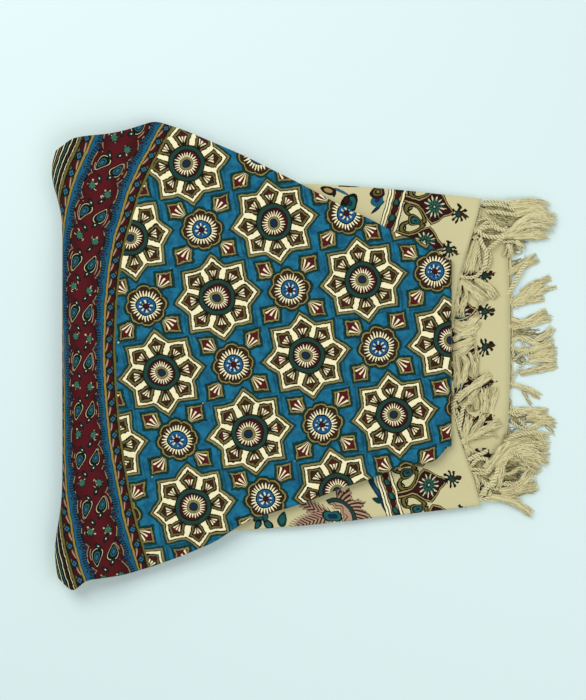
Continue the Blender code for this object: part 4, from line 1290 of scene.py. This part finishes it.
def draw_brush(curve, brush, rest, chance, shaded):
    """Spreads wavy yarns about a route, with ragged ends. The lowest ones, or all, get the darker yarn
    copies, as painted shade.
    """
    middle, across = smooth_route(brush.route, POINT_SPACING)
    shares = np.linspace(0, 1, len(middle))
    widths = brush.start_width + (brush.end_width - brush.start_width) * shares**1.3
    rise = brush.lift * np.sin(math.pi * shares) ** 0.8
    count = round(brush.yarns * YARN_SHARE * (0.8 if shaded else 1.0))
    for yarn in range(count):
        side = 2 * (yarn + chance.random()) / count - 1
        under = yarn % 3 == 1
        layer = 0.0 if under or shaded else chance.uniform(0.3, 1.0) * BRUSH_DEPTH * (1.15 - side * side)
        waves = 2 * math.pi * shares * len(middle) * POINT_SPACING / chance.uniform(*WAVE_LENGTH)
        sway = np.sin(waves + chance.uniform(0, 6.28)) * chance.uniform(*WAVE_SIZE)
        sway *= np.minimum(1, 3 * shares) * (2.0 if shaded else 1.0)
        points = middle + across * (side * widths / 2 + sway)[:, None]
        points[:, 2] += rise + layer * (1 - 0.6 * shares) + 0.3 * np.sin(waves * 0.7)
        shortest, longest = 0.45 if shaded or under else 0.8, 0.9 if under else 1.1
        kept = max(4, round(len(points) * min(1.0, chance.uniform(shortest, longest))))
        # Painted shade: the lowest yarns, and every yarn of a shaded brush, get the darker copies of the yarn
        # colour
        if shaded:
            tone = chance.choice((SHADED_TONE, HALF_SHADED_TONE))
        else:
            tone = SHADED_TONE if under else chance.choice((LIT_TONE, LIT_TONE, HALF_SHADED_TONE))
        draw_yarn(curve, points[:kept], YARN * chance.uniform(0.75, 1.2), False, rest, tone)


def draw_cord(curve, cord, rest):
    """Twists two plies about a route, over a dark core in the darkest yarn copy: painted shade for the
    grooves between the plies.
    """
    middle, across = smooth_route(cord.route, TURN_LENGTH / TURN_POINTS)
    middle[:, 2] += cord.lift * np.sin(math.pi * np.linspace(0.1, 0.9, len(middle)))
    turns = np.arange(len(middle)) * 2 * math.pi / TURN_POINTS
    for start in (0, math.pi):
        points = middle + across * (np.cos(turns + start) * cord.radius * 0.6)[:, None]
        points[:, 2] += (np.sin(turns + start) + 1) * cord.radius * 0.5
        draw_yarn(curve, points, cord.radius * 0.49, True, rest, LIT_TONE)
    groove_shade = middle[::3] + np.array([0, 0, cord.radius * 0.4])
    draw_yarn(curve, groove_shade, cord.radius * 0.6, True, rest, SHADED_TONE)


def draw_knot(curve, knot, rest):
    """Winds a yarn round three times, and ties it down with a fourth turn across."""
    way = np.array([math.cos(math.radians(knot.heading)), math.sin(math.radians(knot.heading)), 0.0])
    across = np.array([-way[1], way[0], 0.0])
    turns = np.linspace(0, 6 * math.pi, 34)[:, None]
    middle = np.array([knot.x, knot.y, knot.lift + knot.radius * 0.7])
    high = np.array([0, 0, 0.7])
    wound = middle + knot.radius * (across * np.cos(turns) + high * np.sin(turns))
    wound = wound + way * (turns - 3 * math.pi) * 0.3
    draw_yarn(curve, wound, knot.radius * 0.34, True, rest, LIT_TONE)
    turns = turns[:14] * 1.15
    tied = middle + knot.radius * 1.1 * (way * np.cos(turns) + high * np.sin(turns))
    tied = tied + across * (turns - math.pi) * 0.3
    draw_yarn(curve, tied, knot.radius * 0.34, True, rest, HALF_SHADED_TONE)


def draw_gather(curve, ply, gather, knots, rest, chance):
    """Draws the warp together from a stretch of the hem into its knot."""
    start, end, number = gather
    knot = knots[number]
    far, near = PLY_EDGES[ply][-1][1:]
    low = LOWER_Z if ply == "lower" else MIDDLE_Z
    count = round(abs(end - start) * GATHER_YARNS)
    for yarn in range(count):
        across = start + (end - start) * (yarn + 0.5) / count
        hem_x = HEM_X[ply] + float(np.interp(across, *zip(*HEM_BOWS[ply])))
        hem_y = (far + near) / 2 + across * (far - near) / 2
        lift = low - rest(hem_x) - YARN
        outward = (hem_x + 2.0 + 0.3 * (knot.x - hem_x), hem_y + 0.3 * (knot.y - hem_y), lift * 0.7)
        end_x, end_y = knot.x + chance.uniform(-1.5, 1.5), knot.y + chance.uniform(-1.5, 1.5)
        route = [(hem_x - 3, hem_y, lift), outward, (end_x, end_y, knot.lift + 1.0)]
        tone = chance.choice((LIT_TONE, LIT_TONE, HALF_SHADED_TONE))
        draw_yarn(curve, smooth_route(route, POINT_SPACING)[0], YARN * 0.9, True, rest, tone)


def on_lower_ply(x):
    """What the upper fringe lies on: the lower ply, and past its hem the lower fringe."""
    over_ply, over_fringe = 2 * STRIP_HALF + 0.4, 3.2
    return over_ply + (over_fringe - over_ply) * blend(HEM_X["lower"] + 4, HEM_X["lower"] + 26, x)


def on_floor(x):
    """What the lower fringe lies on."""
    return 0.0


def yarn_material(name, dark, light):
    """Matt undyed cotton yarn, a pale sandy colour that changes from lock to lock."""
    material, tree, shader = cotton_shader(name, 0.05)
    place = add(tree, "TexCoord")[OBJECT_PLACE]
    patch = add(tree, "TexNoise", place, 60.0, 2.0)[0]
    thread = add(tree, "TexNoise", place, 700.0, 1.0)[0]
    tone = add(tree, "Math MULTIPLY_ADD", thread, 0.4, add(tree, "Math MULTIPLY", patch, 0.6))
    colour = add(tree, "Mix", tone, srgb(dark), srgb(light), data_type="RGBA")
    tree.links.new(colour, shader.inputs["Base Color"])
    tree.links.new(add(tree, "Bump", 0.3, 0.0003, None, thread), shader.inputs["Normal"])
    return material


# Painted shade: the lit yarn colour, a darker copy for yarns in half shade, and a darkest copy for yarns deep
# in a lock or in the gaps between locks
YARN_MATERIALS = [
    yarn_material("undyed_cotton_yarn", "#c9bf8e", "#f4ecc0"),
    yarn_material("undyed_cotton_yarn_half_shaded", "#ab9f6c", "#d9d0a0"),
    yarn_material("undyed_cotton_yarn_shaded", "#6e6541", "#a09668"),
]


def make_fringe(name, ply, parts, rest, seed):
    """One hem's fringe, a curve with a spline for each yarn, made a mesh."""
    chance = random.Random(seed)
    brushes, shaded, cords, knots, gathers = parts
    curve = bpy.data.curves.new(name, "CURVE")
    curve.dimensions = "3D"
    curve.bevel_depth = MM
    curve.bevel_resolution = 0
    curve.use_fill_caps = True
    for material in YARN_MATERIALS:
        curve.materials.append(material)
    for brush in shaded:
        draw_brush(curve, brush, rest, chance, True)
    for brush in brushes:
        draw_brush(curve, brush, rest, chance, False)
    for cord in cords:
        draw_cord(curve, cord, rest)
    for knot in knots:
        draw_knot(curve, knot, rest)
    for gather in gathers:
        draw_gather(curve, ply, gather, knots, rest, chance)
    drawn = bpy.data.objects.new(name, curve)
    mesh = bpy.data.meshes.new_from_object(drawn)
    bpy.data.objects.remove(drawn)
    mesh.transform(Matrix.Translation(Vector((SHIFT_X, SHIFT_Y, 0)) * MM))
    mesh.shade_smooth()
    fringe = bpy.data.objects.new(name, mesh)
    bpy.context.collection.objects.link(fringe)
    return fringe


upper_parts = (UPPER_BRUSHES, UPPER_SHADED, UPPER_CORDS, UPPER_KNOTS, UPPER_GATHERS)
upper_fringe = make_fringe("upper_fringe", "middle", upper_parts, on_lower_ply, 3)
lower_parts = (LOWER_BRUSHES, LOWER_SHADED, LOWER_CORDS, LOWER_KNOTS, LOWER_GATHERS)
lower_fringe = make_fringe("lower_fringe", "lower", lower_parts, on_floor, 4)
for fringe, node in ((upper_fringe, "fringe_upper"), (lower_fringe, "fringe_lower")):
    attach(fringe, "root")
    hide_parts(node)

# The floor, light and camera: a pale table top under soft white light, seen from straight above.
FRAME_HEIGHT = 770.0
CAMERA_RISE = 2400.0
CENTRE_X, CENTRE_Y = -12.1, 6.6

bm = bmesh.new()
bmesh.ops.create_grid(bm, x_segments=2, y_segments=2, size=3.0)
mesh = bpy.data.meshes.new("floor")
bm.to_mesh(mesh)
bm.free()
floor = bpy.data.objects.new("floor", mesh)
bpy.context.collection.objects.link(floor)
material = bpy.data.materials.new("pale_table_top")
material.use_nodes = True
shader = material.node_tree.nodes["Principled BSDF"]
shader.inputs["Base Color"].default_value = srgb("#dcefed")
shader.inputs["Roughness"].default_value = 0.6
mesh.materials.append(material)

camera_data = bpy.data.cameras.new("camera")
camera_data.sensor_fit = "VERTICAL"
camera_data.sensor_height = 36.0
camera_data.lens = 36.0 * CAMERA_RISE / FRAME_HEIGHT
camera_data.clip_end = 20.0
camera = bpy.data.objects.new("camera", camera_data)
camera.location = ((CENTRE_X + SHIFT_X) * MM, (CENTRE_Y + SHIFT_Y) * MM, (CAMERA_RISE + TOP_Z) * MM)
bpy.context.collection.objects.link(camera)
bpy.context.scene.camera = camera
bpy.context.scene.view_settings.view_transform = "Standard"

world = bpy.data.worlds.new("soft_light")
world.use_nodes = True
world.node_tree.nodes["Background"].inputs[0].default_value = (0.93, 0.97, 1.0, 1.0)
world.node_tree.nodes["Background"].inputs[1].default_value = 0.55
bpy.context.scene.world = world
for name, place, size, power in (
    ("key", (-0.9, 1.1, 1.9), 1.4, 26.0),
    ("fill", (1.3, -0.6, 1.8), 1.6, 13.0),
):
    light_data = bpy.data.lights.new(name, "AREA")
    light_data.size = size
    light_data.energy = power
    light = bpy.data.objects.new(name, light_data)
    light.location = place
    light.rotation_euler = (Vector((0, 0, 0)) - Vector(place)).to_track_quat("-Z", "Y").to_euler()
    bpy.context.collection.objects.link(light)
